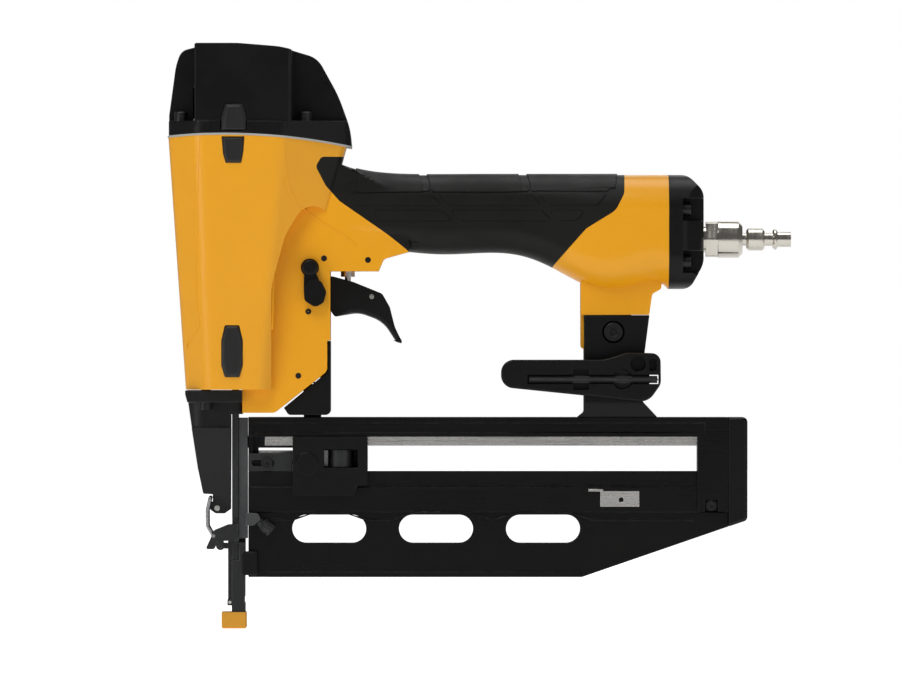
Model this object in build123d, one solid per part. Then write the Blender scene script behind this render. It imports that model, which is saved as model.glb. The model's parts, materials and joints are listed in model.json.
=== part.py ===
"""Pneumatic finish nail gun, built as separate parts, in millimetres.

Frame: the origin is the point on the work where the nail goes in, under the nose pad.
+Z runs up the drive axis towards the cylinder head, +X runs back along the handle to the air inlet,
and the parts are laid out about the plane Y = 0.
"""

from build123d import *
from math import cos, radians, sin
import os

# ---- clearances -------------------------------------------------------------------------------
RUN = 0.05  # radial clearance of a pin in a hole that turns on it
SLIDE = 0.3  # gap beside a part that slides
SIDE = 0.4  # gap beside a part that swings
SPRING_GAP = 0.5  # gap between a spring and what it stands round

# ---- drive axis -------------------------------------------------------------------------------
BORE_R = 19.5  # cylinder bore
SLEEVE_WALL = 2.5
SLEEVE_R = BORE_R + SLEEVE_WALL
FLOOR_Z = 119.3  # underside of the cylinder housing
FLOOR_T = 6.0
SLEEVE_TOP = 242.5
BUMPER_H = 16.0
STROKE = 83.0  # how far the piston travels
PISTON_H = 14.0
PISTON_TOP = FLOOR_Z + FLOOR_T + BUMPER_H + 2.0 + STROKE + PISTON_H
BLADE_X, BLADE_Y = 1.5, 3.0  # section of the driver blade
BLADE_TIP = 93.0  # blade tip at rest, just above the nail heads
CHANNEL_GAP = 0.15

# ---- casting envelope -------------------------------------------------------------------------
SEAT_Z = 246.0  # cap joint on the drive axis
SEAT_R = 320.0  # radius of the curved cap joint, seen from the side
SEAT_X = -5.0
GASKET_T = 1.0
HEAD_FRONT = 33.2  # drive axis to the front of the head
HEAD_BACK = 58.5
HEAD_HALF = 33.0  # half width across the head
HEAD_FLAT = (-18.0, 24.7)  # the flat side facet, front and back
FOOT_FRONT = 24.3
FOOT_BACK = 22.0
FOOT_HALF = 25.0
BLOCK_HALF = 16.5  # half width of the trigger block behind the cylinder
REAR_X = 216.5  # joint between handle and end cap
HANDLE_TOP = 226.4
HANDLE_BOTTOM = 188.0
FLARE_BOTTOM = 169.5
GRIP_T = 3.0
HANDLE_WALL = 3.5

# ---- head -------------------------------------------------------------------------------------
CAP_TOP = 291.7
CAP_FLANGE = 253.0
CAP_SPINE_HALF = 12.0
CAP_SCREWS = [(-26.4, 20.5), (-26.4, -20.5), (35.5, 21.5), (35.5, -21.5)]
CAP_SCREW_R = 2.0
CAP_SCREW_LENGTH = 18.0
CAP_HEAD_R = 3.4
CAP_HEAD_H = 4.6
VALVE_R = SLEEVE_R + 1.4  # head valve
VALVE_LIFT = 4.0
VALVE_H = 12.0
VALVE_SPRING_H = 16.0

# ---- trigger ----------------------------------------------------------------------------------
PIVOT = (40.2, 167.5)  # trigger pivot, x and z
PIVOT_R = 2.0
TRIGGER_HALF = 7.0
TRIGGER_WALL = 1.6
ROCKER_PIN = (68.4, 165.6)
ROCKER_PIN_R = 1.2
STEM_X = 56.4
STEM_R = 1.5
STEM_BOTTOM = 171.9
NECK_R = 3.5
VALVE_BODY_R = 6.5
SLOT_TOP = 178.3
SLOT_HALF = TRIGGER_HALF + SLIDE
SELECTOR_R = 5.9
KNOB = (37.7, 180.1)
KNOB_R = 3.9
KNOB_PULL = 2.5

# ---- nose -------------------------------------------------------------------------------------
NOSE_HALF = 6.0  # half width of the nose core
CORE_BACK = 5.0
CORE_FRONT = -1.3
NOSE_TIP = 10.5  # lowest point of the fixed nose
CONTACT_T = 1.7  # thickness of the work contact's plates
CONTACT_Y = NOSE_HALF + SLIDE  # inner face of those plates
CONTACT_TOP = 162.3  # top of the work contact's stem, under the rocker
LINK_Y = (10.2, 12.2)  # the link that runs up to the trigger
TIP_H = 8.2
TIP_PAD = 1.2
TIP_WALL = 1.3
DOOR_HALF = 4.4
DOOR_HINGE = (-2.45, 13.0)
DOOR_T = 1.9
LATCH_PIN = (-7.2, 41.2)
LATCH_Y = (CONTACT_Y + CONTACT_T + SLIDE, 9.8)
BAIL_R = 0.9
BAIL_END = (-10.6, 46.2)
BAIL_TOP = (-12.2, 65.3)
BAIL_HALF = 7.0

CONTACT_SPRING = (37.6, 0.0)
CONTACT_SPRING_R = 2.6
CONTACT_SPRING_TOP = 142.0

# ---- magazine ---------------------------------------------------------------------------------
MAG_FRONT = 6.8
MAG_REAR = 246.5
MAG_TOP = 105.5
RAIL_BOTTOM = 95.8
RAIL_HALF = 9.5
STRIP_BOTTOM = 91.2
STRIP_HALF = 4.0
WINDOW_REAR = MAG_REAR - 15.5
REAR_CAP_T = 9.5
TAIL_BOTTOM = 50.8  # lowest edge of the walls where they meet the rear cap
DECK_TOP = 78.5
DECK_BOTTOM = 58.0
DECK_HALF = 8.0
SIDE_HALF = 6.0
SIDE_BOTTOM = 25.6
NAIL_GAP = 2.0  # width of the slot the nails run in
SLOT_X = (47.1, 100.5, 154.0)
SLOT_Z = 49.7
SLOT_LENGTH = 37.0
SLOT_H = 14.1
PUSHER = (29.0, 66.4)
PUSHER_Y = (-12.2, -9.8)

# ---- bracket and hook -------------------------------------------------------------------------
BRACKET_HALF = 12.5
LEG_HALF = 12.0
LEG_FRONT = 172.7
BRACKET_FRONT = 174.3
LEG_BOTTOM = 156.6
TONGUE_HALF = 8.0
TONGUE_BOTTOM = 139.5
BOLT = (189.0, 148.0)
BOLT_R = 2.5
HOOK_PIVOT = (193.4, 124.4)
HOOK_Y = (-29.0, -20.0)
KEY_AF = 3.6
KEY_Y = -26.5
KEY_X = (147.0, 209.0)

# ---- air inlet --------------------------------------------------------------------------------
INLET_Z = 194.3
END_CAP_BACK = 234.0
END_CAP_HALF = 24.6
STUB_R = 6.6
HEX_AF = 17.5
BARREL_R = 9.2
SPIGOT_R = 5.0
PLUG_TIP_R = 3.8
AIR_R = 2.2


# ---- shape helpers ----------------------------------------------------------------------------
def face(points):
    """A closed outline. Each point is (u, v), or (u, v, radius) for a rounded corner."""
    corners = [p[:2] for p in points]
    radii = [p[2] if len(p) > 2 else 0 for p in points]
    if any(radii):
        return make_face(FilletPolyline(*corners, radius=radii, close=True))
    return make_face(Polyline(*corners, close=True))


def side(sketch, low, high):
    """Extrudes an outline of (x, z) across the tool, from y = low to y = high."""
    return extrude(Plane((0, high, 0), x_dir=(1, 0, 0), z_dir=(0, -1, 0)) * sketch, high - low)


def plan(sketch, low, high):
    """Extrudes an outline of (x, y) upwards, from z = low to z = high."""
    return extrude(Plane((0, 0, low)) * sketch, high - low)


def end_on(sketch, low, high):
    """Extrudes an outline of (y, z) back, from x = low to x = high."""
    return extrude(Plane((low, 0, 0), x_dir=(0, 1, 0), z_dir=(1, 0, 0)) * sketch, high - low)


def box(x, y, z):
    """A block between two values on each axis."""
    centre = Location(((x[0] + x[1]) / 2, (y[0] + y[1]) / 2, (z[0] + z[1]) / 2))
    return centre * Box(x[1] - x[0], y[1] - y[0], z[1] - z[0])


def rod_x(y, z, r, low, high):
    return Plane((low, y, z), z_dir=(1, 0, 0)) * Cylinder(r, high - low, align=ON_BASE)


def rod_y(x, z, r, low, high):
    return Plane((x, low, z), z_dir=(0, 1, 0)) * Cylinder(r, high - low, align=ON_BASE)


def rod_z(x, y, r, low, high):
    return Plane((x, y, low)) * Cylinder(r, high - low, align=ON_BASE)


def tube_z(x, y, r_out, r_in, low, high):
    return rod_z(x, y, r_out, low, high) - rod_z(x, y, r_in, low, high)


def hex_y(x, z, across, low, high):
    """A hexagonal bar across the tool."""
    plane = Plane((x, high, z), x_dir=(1, 0, 0), z_dir=(0, -1, 0))
    return extrude(plane * RegularPolygon(across / 2, 6, major_radius=False), high - low)


def hex_x(y, z, across, low, high):
    """A hexagonal bar along the handle."""
    plane = Plane((low, y, z), x_dir=(0, 1, 0), z_dir=(1, 0, 0))
    return extrude(plane * RegularPolygon(across / 2, 6, major_radius=False), high - low)


def coil_z(x, y, r, wire, low, high, turns):
    """A compression spring that stands on z = low, with its wire's centre line at radius r."""
    height = high - low - 2 * wire
    path = Helix(pitch=height / turns, height=height, radius=r)
    spring = sweep((path ^ 0) * Circle(wire), path=path)
    return Location((x, y, low + wire)) * spring


def both_sides(make):
    """Two mirrored solids, from a function that makes one at positive y."""
    one = make()
    return Compound(children=[one, mirror(one, about=Plane.XZ)])


def group(shapes):
    """Separate solids that share one node."""
    return Compound(children=list(shapes))


ON_BASE = (Align.CENTER, Align.CENTER, Align.MIN)
MIRROR = (-1, 1)


def save(name, shape):
    export_step(shape, f"parts/{name}.step")


# ---- casting ----------------------------------------------------------------------------------
def above_seat(lift):
    """Everything above the curved cap joint, raised by lift."""
    left, right = SEAT_X - 60, SEAT_X + 100
    drop = lambda x: SEAT_R - (SEAT_R**2 - (x - SEAT_X) ** 2) ** 0.5
    z = SEAT_Z + lift
    arc = ThreePointArc((left, z - drop(left)), (SEAT_X, z), (right, z - drop(right)))
    lid = Polyline((right, z - drop(right)), (right, z + 90), (left, z + 90), (left, z - drop(left)))
    return side(make_face([arc, lid]), -HEAD_HALF - 10, HEAD_HALF + 10)


def head_plan(inset=0.0):
    """Outline of the head from above: flat sides, a blunt front, and a tapered back."""
    front, back = -HEAD_FRONT + inset, HEAD_BACK - inset
    half = HEAD_HALF - inset
    return face(
        [
            (front, -19 + inset, 8),
            (HEAD_FLAT[0], -half, 10),
            (HEAD_FLAT[1], -half, 12),
            (back, -BLOCK_HALF + inset, 6),
            (back, BLOCK_HALF - inset, 6),
            (HEAD_FLAT[1], half, 12),
            (HEAD_FLAT[0], half, 10),
            (front, 19 - inset, 8),
        ]
    )


def foot_plan(inset=0.0):
    """Outline of the cylinder housing at its lower end."""
    front, back = -FOOT_FRONT + inset, FOOT_BACK - inset
    half = FOOT_HALF - inset
    return face(
        [
            (front, -13 + inset, 7),
            (-13, -half, 8),
            (13.5, -half, 8),
            (back, -BLOCK_HALF + inset, 4),
            (back, BLOCK_HALF - inset, 4),
            (13.5, half, 8),
            (-13, half, 8),
            (front, 13 - inset, 7),
        ]
    )


def handle_sections():
    """Handle sections from front to back: x, top, bottom, half width."""
    return [
        (46.0, 236.0, HANDLE_BOTTOM + 3.0, 16.0),
        (62.0, 229.0, HANDLE_BOTTOM + 1.0, 16.8),
        (87.0, HANDLE_TOP, HANDLE_BOTTOM, 17.5),
        (126.0, HANDLE_TOP, HANDLE_BOTTOM - 0.4, 17.5),
        (150.0, HANDLE_TOP, HANDLE_BOTTOM - 4.0, 18.5),
        (173.0, HANDLE_TOP, FLARE_BOTTOM + 3.0, 21.5),
        (195.0, HANDLE_TOP, FLARE_BOTTOM + 0.2, 24.0),
        (REAR_X, HANDLE_TOP, FLARE_BOTTOM, END_CAP_HALF),
    ]


def handle_body(inset=0.0, first=0, reach=0.0):
    """The handle's outer skin, or a smaller one inside it, from one section to the end."""
    faces = []
    sections = handle_sections()[first:]
    for x, top, bottom, half in sections:
        x = x + reach if x == sections[-1][0] else x
        high, wide = (top - bottom) / 2 - inset, half - inset
        plane = Plane((x, 0, (top + bottom) / 2), x_dir=(0, 1, 0), z_dir=(1, 0, 0))
        faces.append(plane * RectangleRounded(2 * wide, 2 * high, 0.72 * wide))
    return loft(faces)


def envelope(inset=0.0):
    """The casting's outer shape. With an inset, the smaller shape that lies under the grip."""
    top = Plane((0, 0, SEAT_Z + 4)) * head_plan(inset)
    foot = Plane((0, 0, FLOOR_Z)) * foot_plan(inset)
    barrel = loft([foot, top])
    block = side(
        face(
            [
                (4, 107.7),
                (20, 107.7, 3),
                (46.3, 128.5, 4),
                (46.3, 143.7),
                (47.8 - inset, 143.7),
                (47.8 - inset, SLOT_TOP),
                (71.8, SLOT_TOP),
                (74.5, 184.5, 3),
                (87 + inset, HANDLE_BOTTOM + inset),
                (87, 214),
                (50, 233),
                (4, 233),
            ]
        ),
        -BLOCK_HALF + inset,
        BLOCK_HALF - inset,
    )
    leg = side(
        face(
            [
                (LEG_FRONT + inset, 200),
                (LEG_FRONT + inset, LEG_BOTTOM),
                (206.9, LEG_BOTTOM),
                (208.4, 167, 2),
                (213, FLARE_BOTTOM, 2),
                (213, 200),
            ]
        ),
        -LEG_HALF,
        LEG_HALF,
    )
    shape = barrel + block + handle_body(inset) + leg - above_seat(0)
    half = BLOCK_HALF - inset
    for low, high in ((half, HEAD_HALF + 5), (-HEAD_HALF - 5, -half)):
        shape -= side(valley(), low, high)
    return shape


def valley():
    """Side outline of the hollow behind the barrel, where the casting is only as wide as its block."""
    return face(
        [
            (18.5, FLOOR_Z - 20),
            (18.5, 170, 30),
            (25.5, 196, 18),
            (36.5, 214.5, 9),
            (62, 197),
            (62, FLOOR_Z - 20),
        ]
    )


def grip_zone():
    """Side outline of the rubber grip, extruded right across the handle."""
    return side(
        face(
            [
                (66, 242),
                (59.5, 235.3),
                (43.5, 235.3, 2.5),
                (40.6, 230.5, 3),
                (45.5, 221.0, 6),
                (52.5, 213.2),
                (77, 196.2),
                (86.8, HANDLE_BOTTOM + 0.3),
                (86.8, 170),
                (152, 170),
                (159.6, 181.7, 8),
                (175.4, 199.6, 10),
                (190, 208.5, 8),
                (194.3, 217, 6),
                (194.8, 242),
            ]
        ),
        -HEAD_HALF - 5,
        HEAD_HALF + 5,
    )


def casting_hollows():
    """Everything cut out of the casting."""
    sleeve_seat = FLOOR_Z + FLOOR_T
    cuts = [
        rod_z(0, 0, SLEEVE_R, sleeve_seat, sleeve_seat + 30),
        rod_z(0, 0, SLEEVE_R + 3.5, sleeve_seat + 29, SEAT_Z + 1),
        rod_z(0, 0, 9.0, FLOOR_Z - 1, sleeve_seat + 1),
        # passage from the handle to the space round the cylinder
        rod_x(0, 211, 8.5, 20, 80),
        # trigger slot, open at the back and below
        box((34.3, 74.0), (-SLOT_HALF, SLOT_HALF), (150.5, SLOT_TOP)),
        # shaft for the work contact's link
        box((42.0, 46.9), (-3.1, 3.1), (118.0, 151.0)),
        box((33.6, 46.9), (-3.1, LINK_Y[1] + SLIDE), (106.0, 131.0)),
        rod_z(*CONTACT_SPRING, CONTACT_SPRING_R + 1.0, 118.0, CONTACT_SPRING_TOP),
        # trigger valve
        rod_z(STEM_X, 0, VALVE_BODY_R, SLOT_TOP - 1, 201),
        # trigger pivot
        rod_y(*PIVOT, PIVOT_R, -BLOCK_HALF - 1, BLOCK_HALF + 1),
        # recess for the bracket's bolt tongue
        box((LEG_FRONT + 30, 209), (-LEG_HALF - 1, LEG_HALF + 1), (LEG_BOTTOM - 1, LEG_BOTTOM)),
    ]
    cuts += [rod_z(x, y, CAP_SCREW_R, CAP_FLANGE - CAP_SCREW_LENGTH - 2, SEAT_Z + 1) for x, y in CAP_SCREWS]
    cuts += [rod_y(x, z, ROLL_PIN_R, -BLOCK_HALF - 1, BLOCK_HALF + 1) for x, z in ROLL_PINS]
    cuts += [rod_z(x, y, NOSE_SCREW_R, FLOOR_Z - 1, FLOOR_Z + FLOOR_T) for x, y in NOSE_SCREWS]
    cuts += [rod_x(y, z, END_SCREW_R, REAR_X - 14, REAR_X + 1) for y, z in END_SCREWS]
    return cuts


ROLL_PIN_R = 1.5
ROLL_PINS = [(44.7, 184.7), (66.6, 183.9), (31.9, 126.2)]
NOSE_SCREW_R = 2.0
NOSE_SCREWS = [(-14.5, 15.5), (-14.5, -15.5)]
END_SCREW_R = 2.0
END_SCREWS = [(18.5, 209.0), (-18.5, 209.0), (18.5, 183.0), (-18.5, 183.0)]


def make_casting_and_grip():
    """The magnesium casting and the rubber grip moulded round its handle."""
    outer = envelope()
    grip = (outer - envelope(GRIP_T)) & grip_zone()
    tongue = side(
        face([(LEG_FRONT, LEG_BOTTOM + 1), (LEG_FRONT, TONGUE_BOTTOM, 2), (198, TONGUE_BOTTOM, 2), (198, LEG_BOTTOM + 1)]),
        -TONGUE_HALF,
        TONGUE_HALF,
    )
    tongue -= rod_y(*BOLT, BOLT_R, -LEG_HALF, LEG_HALF)
    casting = outer - grip
    casting -= handle_body(GRIP_T + HANDLE_WALL, first=2, reach=2.0)
    for cut in casting_hollows():
        casting -= cut
    # seats that reach into the hollow handle
    bosses = [rod_x(y, z, END_SCREW_R + 2.5, REAR_X - 16, REAR_X) for y, z in END_SCREWS]
    holes = [rod_x(y, z, END_SCREW_R, REAR_X - 14, REAR_X + 1) for y, z in END_SCREWS]
    inside = handle_body(GRIP_T + HANDLE_WALL - 0.5, first=2)
    for boss, hole in zip(bosses, holes):
        casting += (boss & inside) - hole
    return casting + tongue, grip


def make_bumpers():
    """Rubber strips let into the sides of the head, one pair each for cap and casting."""
    upper = [(-6.0, 245.2), (5.4, 245.2), (4.9, 237.8), (3.8, 232.0, 1), (-4.0, 232.0, 1), (-5.3, 236.5)]
    lower = [
        (-4.5, 151.4, 1),
        (2.7, 151.4, 1),
        (4.5, 143.8, 8),
        (4.5, 131.3, 8),
        (2.7, 125.5, 1),
        (-4.5, 125.5, 1),
        (-6.3, 131.3, 8),
        (-6.3, 143.8, 8),
    ]
    lean = (HEAD_HALF - FOOT_HALF) / (SEAT_Z + 4 - FLOOR_Z)  # the sides draw in towards the foot
    pieces = []
    for outline, middle in ((upper, 238.5), (lower, 138.5)):
        surface = FOOT_HALF + lean * (middle - FLOOR_Z)
        slab = lambda: side(face(outline), surface - 2.2, surface + 1.1)
        pieces.append(both_sides(slab))
    return pieces


def make_cap():
    """Cylinder cap with four open corners for its screws, and a spine front and back."""
    profile = face(
        [
            (-32.6, 236),
            (-32.6, 256),
            (-29.2, 281, 30),
            (-26.6, 288.2, 6),
            (-20.0, 289.9),
            (-19.4, CAP_TOP, 1.5),
            (2, CAP_TOP, 60),
            (24, 289.9, 40),
            (41.5, 284.6, 12),
            (51.8, 265.9, 60),
            (57.5, 250, 40),
            (59.0, 236),
        ]
    )
    full = plan(head_plan(), 236, CAP_TOP + 1) & side(profile, -HEAD_HALF, HEAD_HALF)
    flange = full & box((-60, 80), (-40, 40), (236, CAP_FLANGE))
    crown = full & box((-19.5, 28.8), (-HEAD_HALF + 1.2, HEAD_HALF - 1.2), (236, 300))
    spine = full & box((-60, 80), (-CAP_SPINE_HALF, CAP_SPINE_HALF), (236, 300))
    cap = flange + crown + spine
    cap &= above_seat(GASKET_T)
    cavity = VALVE_R + SLIDE
    top = SLEEVE_TOP + VALVE_H + VALVE_SPRING_H
    cap -= rod_z(0, 0, cavity, 230, top)
    for x, y in CAP_SCREWS:
        cap -= rod_z(x, y, CAP_SCREW_R, 236, CAP_FLANGE + 1)
    return cap


def make_cap_bumpers():
    outline = [(-4.3, 261.4, 1.5), (4.6, 261.4, 1.5), (6.5, 253, 3), (6.5, 248), (-6.6, 248), (-6.6, 253, 3)]
    surface = HEAD_HALF - 1.2
    return both_sides(lambda: side(face(outline), surface - 1.5, surface + 1.6))


def make_gasket():
    ring = plan(head_plan(), 230, SEAT_Z + 5) & above_seat(0)
    ring -= above_seat(GASKET_T)
    ring -= rod_z(0, 0, SLEEVE_R + 3.5, 220, 260)
    for x, y in CAP_SCREWS:
        ring -= rod_z(x, y, CAP_SCREW_R, 220, 260)
    return ring


def make_socket_screw(x, y, seat, shank):
    """A socket-head screw that points down, with its head on z = seat."""
    head = rod_z(x, y, CAP_HEAD_R, seat, seat + CAP_HEAD_H)
    head = chamfer(head.edges().filter_by(GeomType.CIRCLE).sort_by(Axis.Z)[-1], 0.4)
    socket = extrude(Plane((x, y, seat + 1.6)) * RegularPolygon(1.7, 6, major_radius=False), 5)
    return head + rod_z(x, y, CAP_SCREW_R, seat - shank, seat) - socket


# ---- drive ------------------------------------------------------------------------------------
def make_sleeve():
    low = FLOOR_Z + FLOOR_T
    sleeve = tube_z(0, 0, SLEEVE_R, BORE_R, low, SLEEVE_TOP)
    ports = [rod_x(0, low + 26, 1.5, BORE_R - 1, SLEEVE_R + 1)]
    for port in ports:
        for turn in range(0, 360, 60):
            sleeve -= Rot(0, 0, turn) * port
    return sleeve


def make_sleeve_seals():
    """Seal rings round the sleeve: one at the flange and one above its ports."""
    rings = [tube_z(0, 0, SLEEVE_R + 3.3, SLEEVE_R, z, z + 3.0) for z in (FLOOR_Z + FLOOR_T + 33, SLEEVE_TOP - 6)]
    return group(rings)


def make_bumper():
    low = FLOOR_Z + FLOOR_T
    bumper = tube_z(0, 0, BORE_R - SLIDE, 6.5, low, low + BUMPER_H)
    return chamfer(bumper.edges().filter_by(GeomType.CIRCLE).sort_by(Axis.Z)[-2:], 2.0)


def make_piston():
    """Piston with a ring groove, made on the driver blade that passes through it."""
    low = PISTON_TOP - PISTON_H
    piston = rod_z(0, 0, BORE_R - 0.1, low + 4, PISTON_TOP) + rod_z(0, 0, 9.0, low, low + 4)
    piston -= tube_z(0, 0, BORE_R, BORE_R - 2.6, low + 7, low + 10)
    piston -= rod_z(0, 0, 11.0, PISTON_TOP - 3, PISTON_TOP + 1)
    return piston - blade_bar(low - 1, low + 10)


def blade_bar(low, high):
    return box((-BLADE_X / 2, BLADE_X / 2), (-BLADE_Y / 2, BLADE_Y / 2), (low, high))


def make_head_valve():
    """Ring piston that closes on the top of the sleeve and lifts to fire."""
    low = SLEEVE_TOP
    valve = rod_z(0, 0, VALVE_R, low + 3, low + VALVE_H) + rod_z(0, 0, SLEEVE_R, low, low + 3)
    valve -= rod_z(0, 0, 13.0, low + 5, low + VALVE_H + 1)
    return valve - rod_z(0, 0, 9.0, low - 1, low + 3)


# ---- trigger group ----------------------------------------------------------------------------
def make_trigger():
    outline = [
        (35.8, 172.0, 3),
        (48.6, 175.9, 1.5),
        (59.3, 173.0, 4),
        (73.6, 167.2, 3),
        (77.4, 160.5, 6),
        (79.9, 150.5, 20),
        (84.0, 142.0, 0.6),
        (80.6, 143.0, 1.5),
        (74.0, 153.2, 16),
        (62.0, 157.6, 14),
        (50.0, 155.6, 1.5),
        (46.0, 161.0, 3),
        (35.8, 163.0, 3),
    ]
    inner = TRIGGER_HALF - TRIGGER_WALL
    body = side(face(outline), -TRIGGER_HALF, TRIGGER_HALF)
    body -= side(
        face([(33, 190), (33, 150), (48.6, 150), (49.2, 161.5, 2), (73.4, 160.5, 2), (78.5, 172), (78.5, 190)]),
        -inner,
        inner,
    )
    body -= rod_y(*PIVOT, PIVOT_R + RUN, -20, 20)
    return body - rod_y(*ROCKER_PIN, ROCKER_PIN_R, -20, 20)


def make_rocker():
    """Lever in the trigger that lifts the valve stem once the work contact holds up its front end."""
    half = TRIGGER_HALF - TRIGGER_WALL - SIDE
    bar = side(face([(43.6, 169.6, 1), (43.6, 166.8, 1), (70.6, 163.0, 1.5), (70.8, 168.2, 2), (66, 169.6)]), -half, half)
    return bar - rod_y(*ROCKER_PIN, ROCKER_PIN_R + RUN, -20, 20)


def make_valve_body():
    """Trigger valve housing, with the bright neck that shows above the trigger."""
    body = rod_z(STEM_X, 0, VALVE_BODY_R, SLOT_TOP + 0.2, 201) + rod_z(STEM_X, 0, NECK_R, 175.6, SLOT_TOP + 0.2)
    body -= rod_z(STEM_X, 0, STEM_R + RUN, 170, 188)
    return body - rod_z(STEM_X, 0, 4.4, 182, 199)


def make_stem():
    stem = rod_z(STEM_X, 0, STEM_R, STEM_BOTTOM, 189.6)
    return stem + rod_z(STEM_X, 0, 3.9, 182.2, 184.2)


def make_selector():
    """Mode lever: a lobed hub on the pivot, and an arm up to the pull knob."""
    y = -BLOCK_HALF - SIDE
    hub = side(
        face([(34.6, 170, 3), (38.5, 175.5, 3), (43.5, 173, 3), (46, 168, 4), (44.5, 162.6, 2), (40.4, 160.2, 3), (35, 163.6, 3)]),
        y - 4.6,
        y,
    )
    arm = side(face([(34.6, 170), (34.9, 178, 2), (40.6, 178, 2), (43, 172), (40, 166)]), y - 3.2, y)
    eye = rod_y(*KNOB, KNOB_R + 0.6, y - 3.2, y)
    lever = hub + arm + eye
    lever -= rod_y(*KNOB, 2.0 + RUN, y - 10, y + 1)
    return lever - rod_y(*PIVOT, PIVOT_R, y - 3.0, y + 1)


def make_selector_knob():
    y = -BLOCK_HALF - SIDE - 3.2 - SIDE
    knob = rod_y(*KNOB, KNOB_R, y - 3.4, y)
    knob = fillet(knob.edges().filter_by(GeomType.CIRCLE).sort_by(Axis.Y)[0], 1.2)
    return knob + rod_y(*KNOB, 2.0, y, -BLOCK_HALF - 0.2)


# ---- nose -------------------------------------------------------------------------------------
def make_nose_body():
    """Black nose casting: a flange under the cylinder that draws in to a lug over the latch."""
    profile = face(
        [
            (-24.4, FLOOR_Z - 0.4),
            (-24.4, 117.0),
            (-23.2, 112.5),
            (-18.4, 80),
            (-15.8, 67.2, 1),
            (-11.0, 67.0, 0.4),
            (-11.0, 63.3, 0.4),
            (-13.0, 63.0, 1),
            (-12.6, 59.6, 2),
            (-9.6, 57.4, 2),
            (-5.0, 57.4, 1),
            (-2.0, 59.5),
            (-2.0, 107.0),
            (4.0, 107.0),
            (4.0, FLOOR_Z - 0.4),
        ]
    )
    body = face([(-LEDGE_HALF, LEDGE_Z), (-5.6, 66), (-5.6, 56), (5.6, 56), (5.6, 66), (LEDGE_HALF, LEDGE_Z)])
    neck = face([(-25.0, -NECK_HALF, 10), (5.0, -NECK_HALF, 3), (5.0, NECK_HALF, 3), (-25.0, NECK_HALF, 10)])
    nose = end_on(body, -40, 20) + plan(neck, LEDGE_Z - 1, FLOOR_Z)
    nose += box((-40, 20), (-FLANGE_HALF, FLANGE_HALF), (FLANGE_BOTTOM, FLOOR_Z))
    nose &= side(profile, -30, 30)
    nose -= box((-1.6, 5), (-9, 9), (100, 125))
    nose -= rod_y(*LUG_PIN, 1.4, -10, 10)
    for x, y in NOSE_SCREWS:
        nose -= rod_z(x, y, NOSE_SCREW_R, 100, 125)
    return nose


LUG_PIN = (-8.8, 60.0)
NECK_HALF = 11.6  # half width of the neck under the flange
LEDGE_Z = 100.4
LEDGE_HALF = 13.4
FLANGE_HALF = 21.5
FLANGE_BOTTOM = 113.0  # underside of the flange, where the screw heads bear


def channel(low, high):
    """The path of the driver blade and the nail."""
    x, y = BLADE_X / 2 + CHANNEL_GAP, BLADE_Y / 2 + CHANNEL_GAP
    return box((-x, x), (-y, y), (low, high))


def make_core():
    """Hardened nose core with the drive channel, open in front for the jam door."""
    core = box((CORE_FRONT, 1.9), (-NOSE_HALF, NOSE_HALF), (NOSE_TIP, 44.5))
    core += box((CORE_FRONT, 1.9), (-8.0, 8.0), (56.0, FLOOR_Z + FLOOR_T - 0.2))
    core += box((CORE_FRONT, CORE_BACK), (-NOSE_HALF, NOSE_HALF), (NOSE_TIP, 36))
    core += box((CORE_FRONT, 1.9), (-NOSE_HALF, NOSE_HALF), (44, 57))
    core &= rod_z(0, 0, 8.9, 0, 200) + box((-9, 9), (-9, 9), (0, FLOOR_Z - 0.2))
    for sign in MIRROR:
        near, far = sorted((sign * (DOOR_HALF + 0.2), sign * NOSE_HALF))
        core += box((-3.7, CORE_FRONT), (near, far), (11.4, 14.6))
    core -= rod_y(*DOOR_HINGE, 0.8, -20, 20)
    front = box((CORE_FRONT - 0.1, 0), (-BLADE_Y / 2 - CHANNEL_GAP, BLADE_Y / 2 + CHANNEL_GAP), (15, 55))
    # the nails come in from the magazine behind
    feed = box((0, 10), (-NAIL_GAP / 2, NAIL_GAP / 2), (27, 92.5))
    return core - channel(0, 200) - front - feed


def make_nose_plate():
    """The flat plate that joins the core to the magazine, split by the nail slot."""
    plate = box((2.0, 6.4), (-NOSE_HALF, NOSE_HALF), (45.0, 105.2))
    lug = side(face([(5.7, 51.5), (5.7, 57.7), (11.6, 57.7, 1.5), (13.2, 54.5, 1), (9.6, 51.5)]), -13.0, -SIDE_HALF - SLIDE)
    plate += lug + box((5.7, 6.5), (-13.0, -3.0), (51.5, 57.7))
    plate -= Plane(DEPTH_ORIGIN, z_dir=DEPTH_AXIS) * Cylinder(1.5, 40)
    return plate - box((1, 10), (-NAIL_GAP / 2, NAIL_GAP / 2), (27, 92.5))


def make_door():
    """Front wall of the drive channel. It swings out to clear a jam, and carries the latch."""
    x = DOOR_HINGE[0]
    door = side(
        face([(x - DOOR_T / 2, 13), (x - DOOR_T / 2, 50, 1), (x + DOOR_T / 2, 50), (x + DOOR_T / 2, 13)]),
        -DOOR_HALF,
        DOOR_HALF,
    )
    door += rod_y(*DOOR_HINGE, DOOR_T / 2, -DOOR_HALF, DOOR_HALF)
    door += rod_y(*LATCH_PIN, 2.2, -4.2, 4.2) + box((-7.2, -3.0), (-4.2, 4.2), (39.8, 42.6))
    door += rod_y(*LATCH_PIN, 1.0, -LATCH_Y[1], LATCH_Y[1])
    return door - rod_y(*DOOR_HINGE, 0.8 + RUN, -20, 20)


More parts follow.
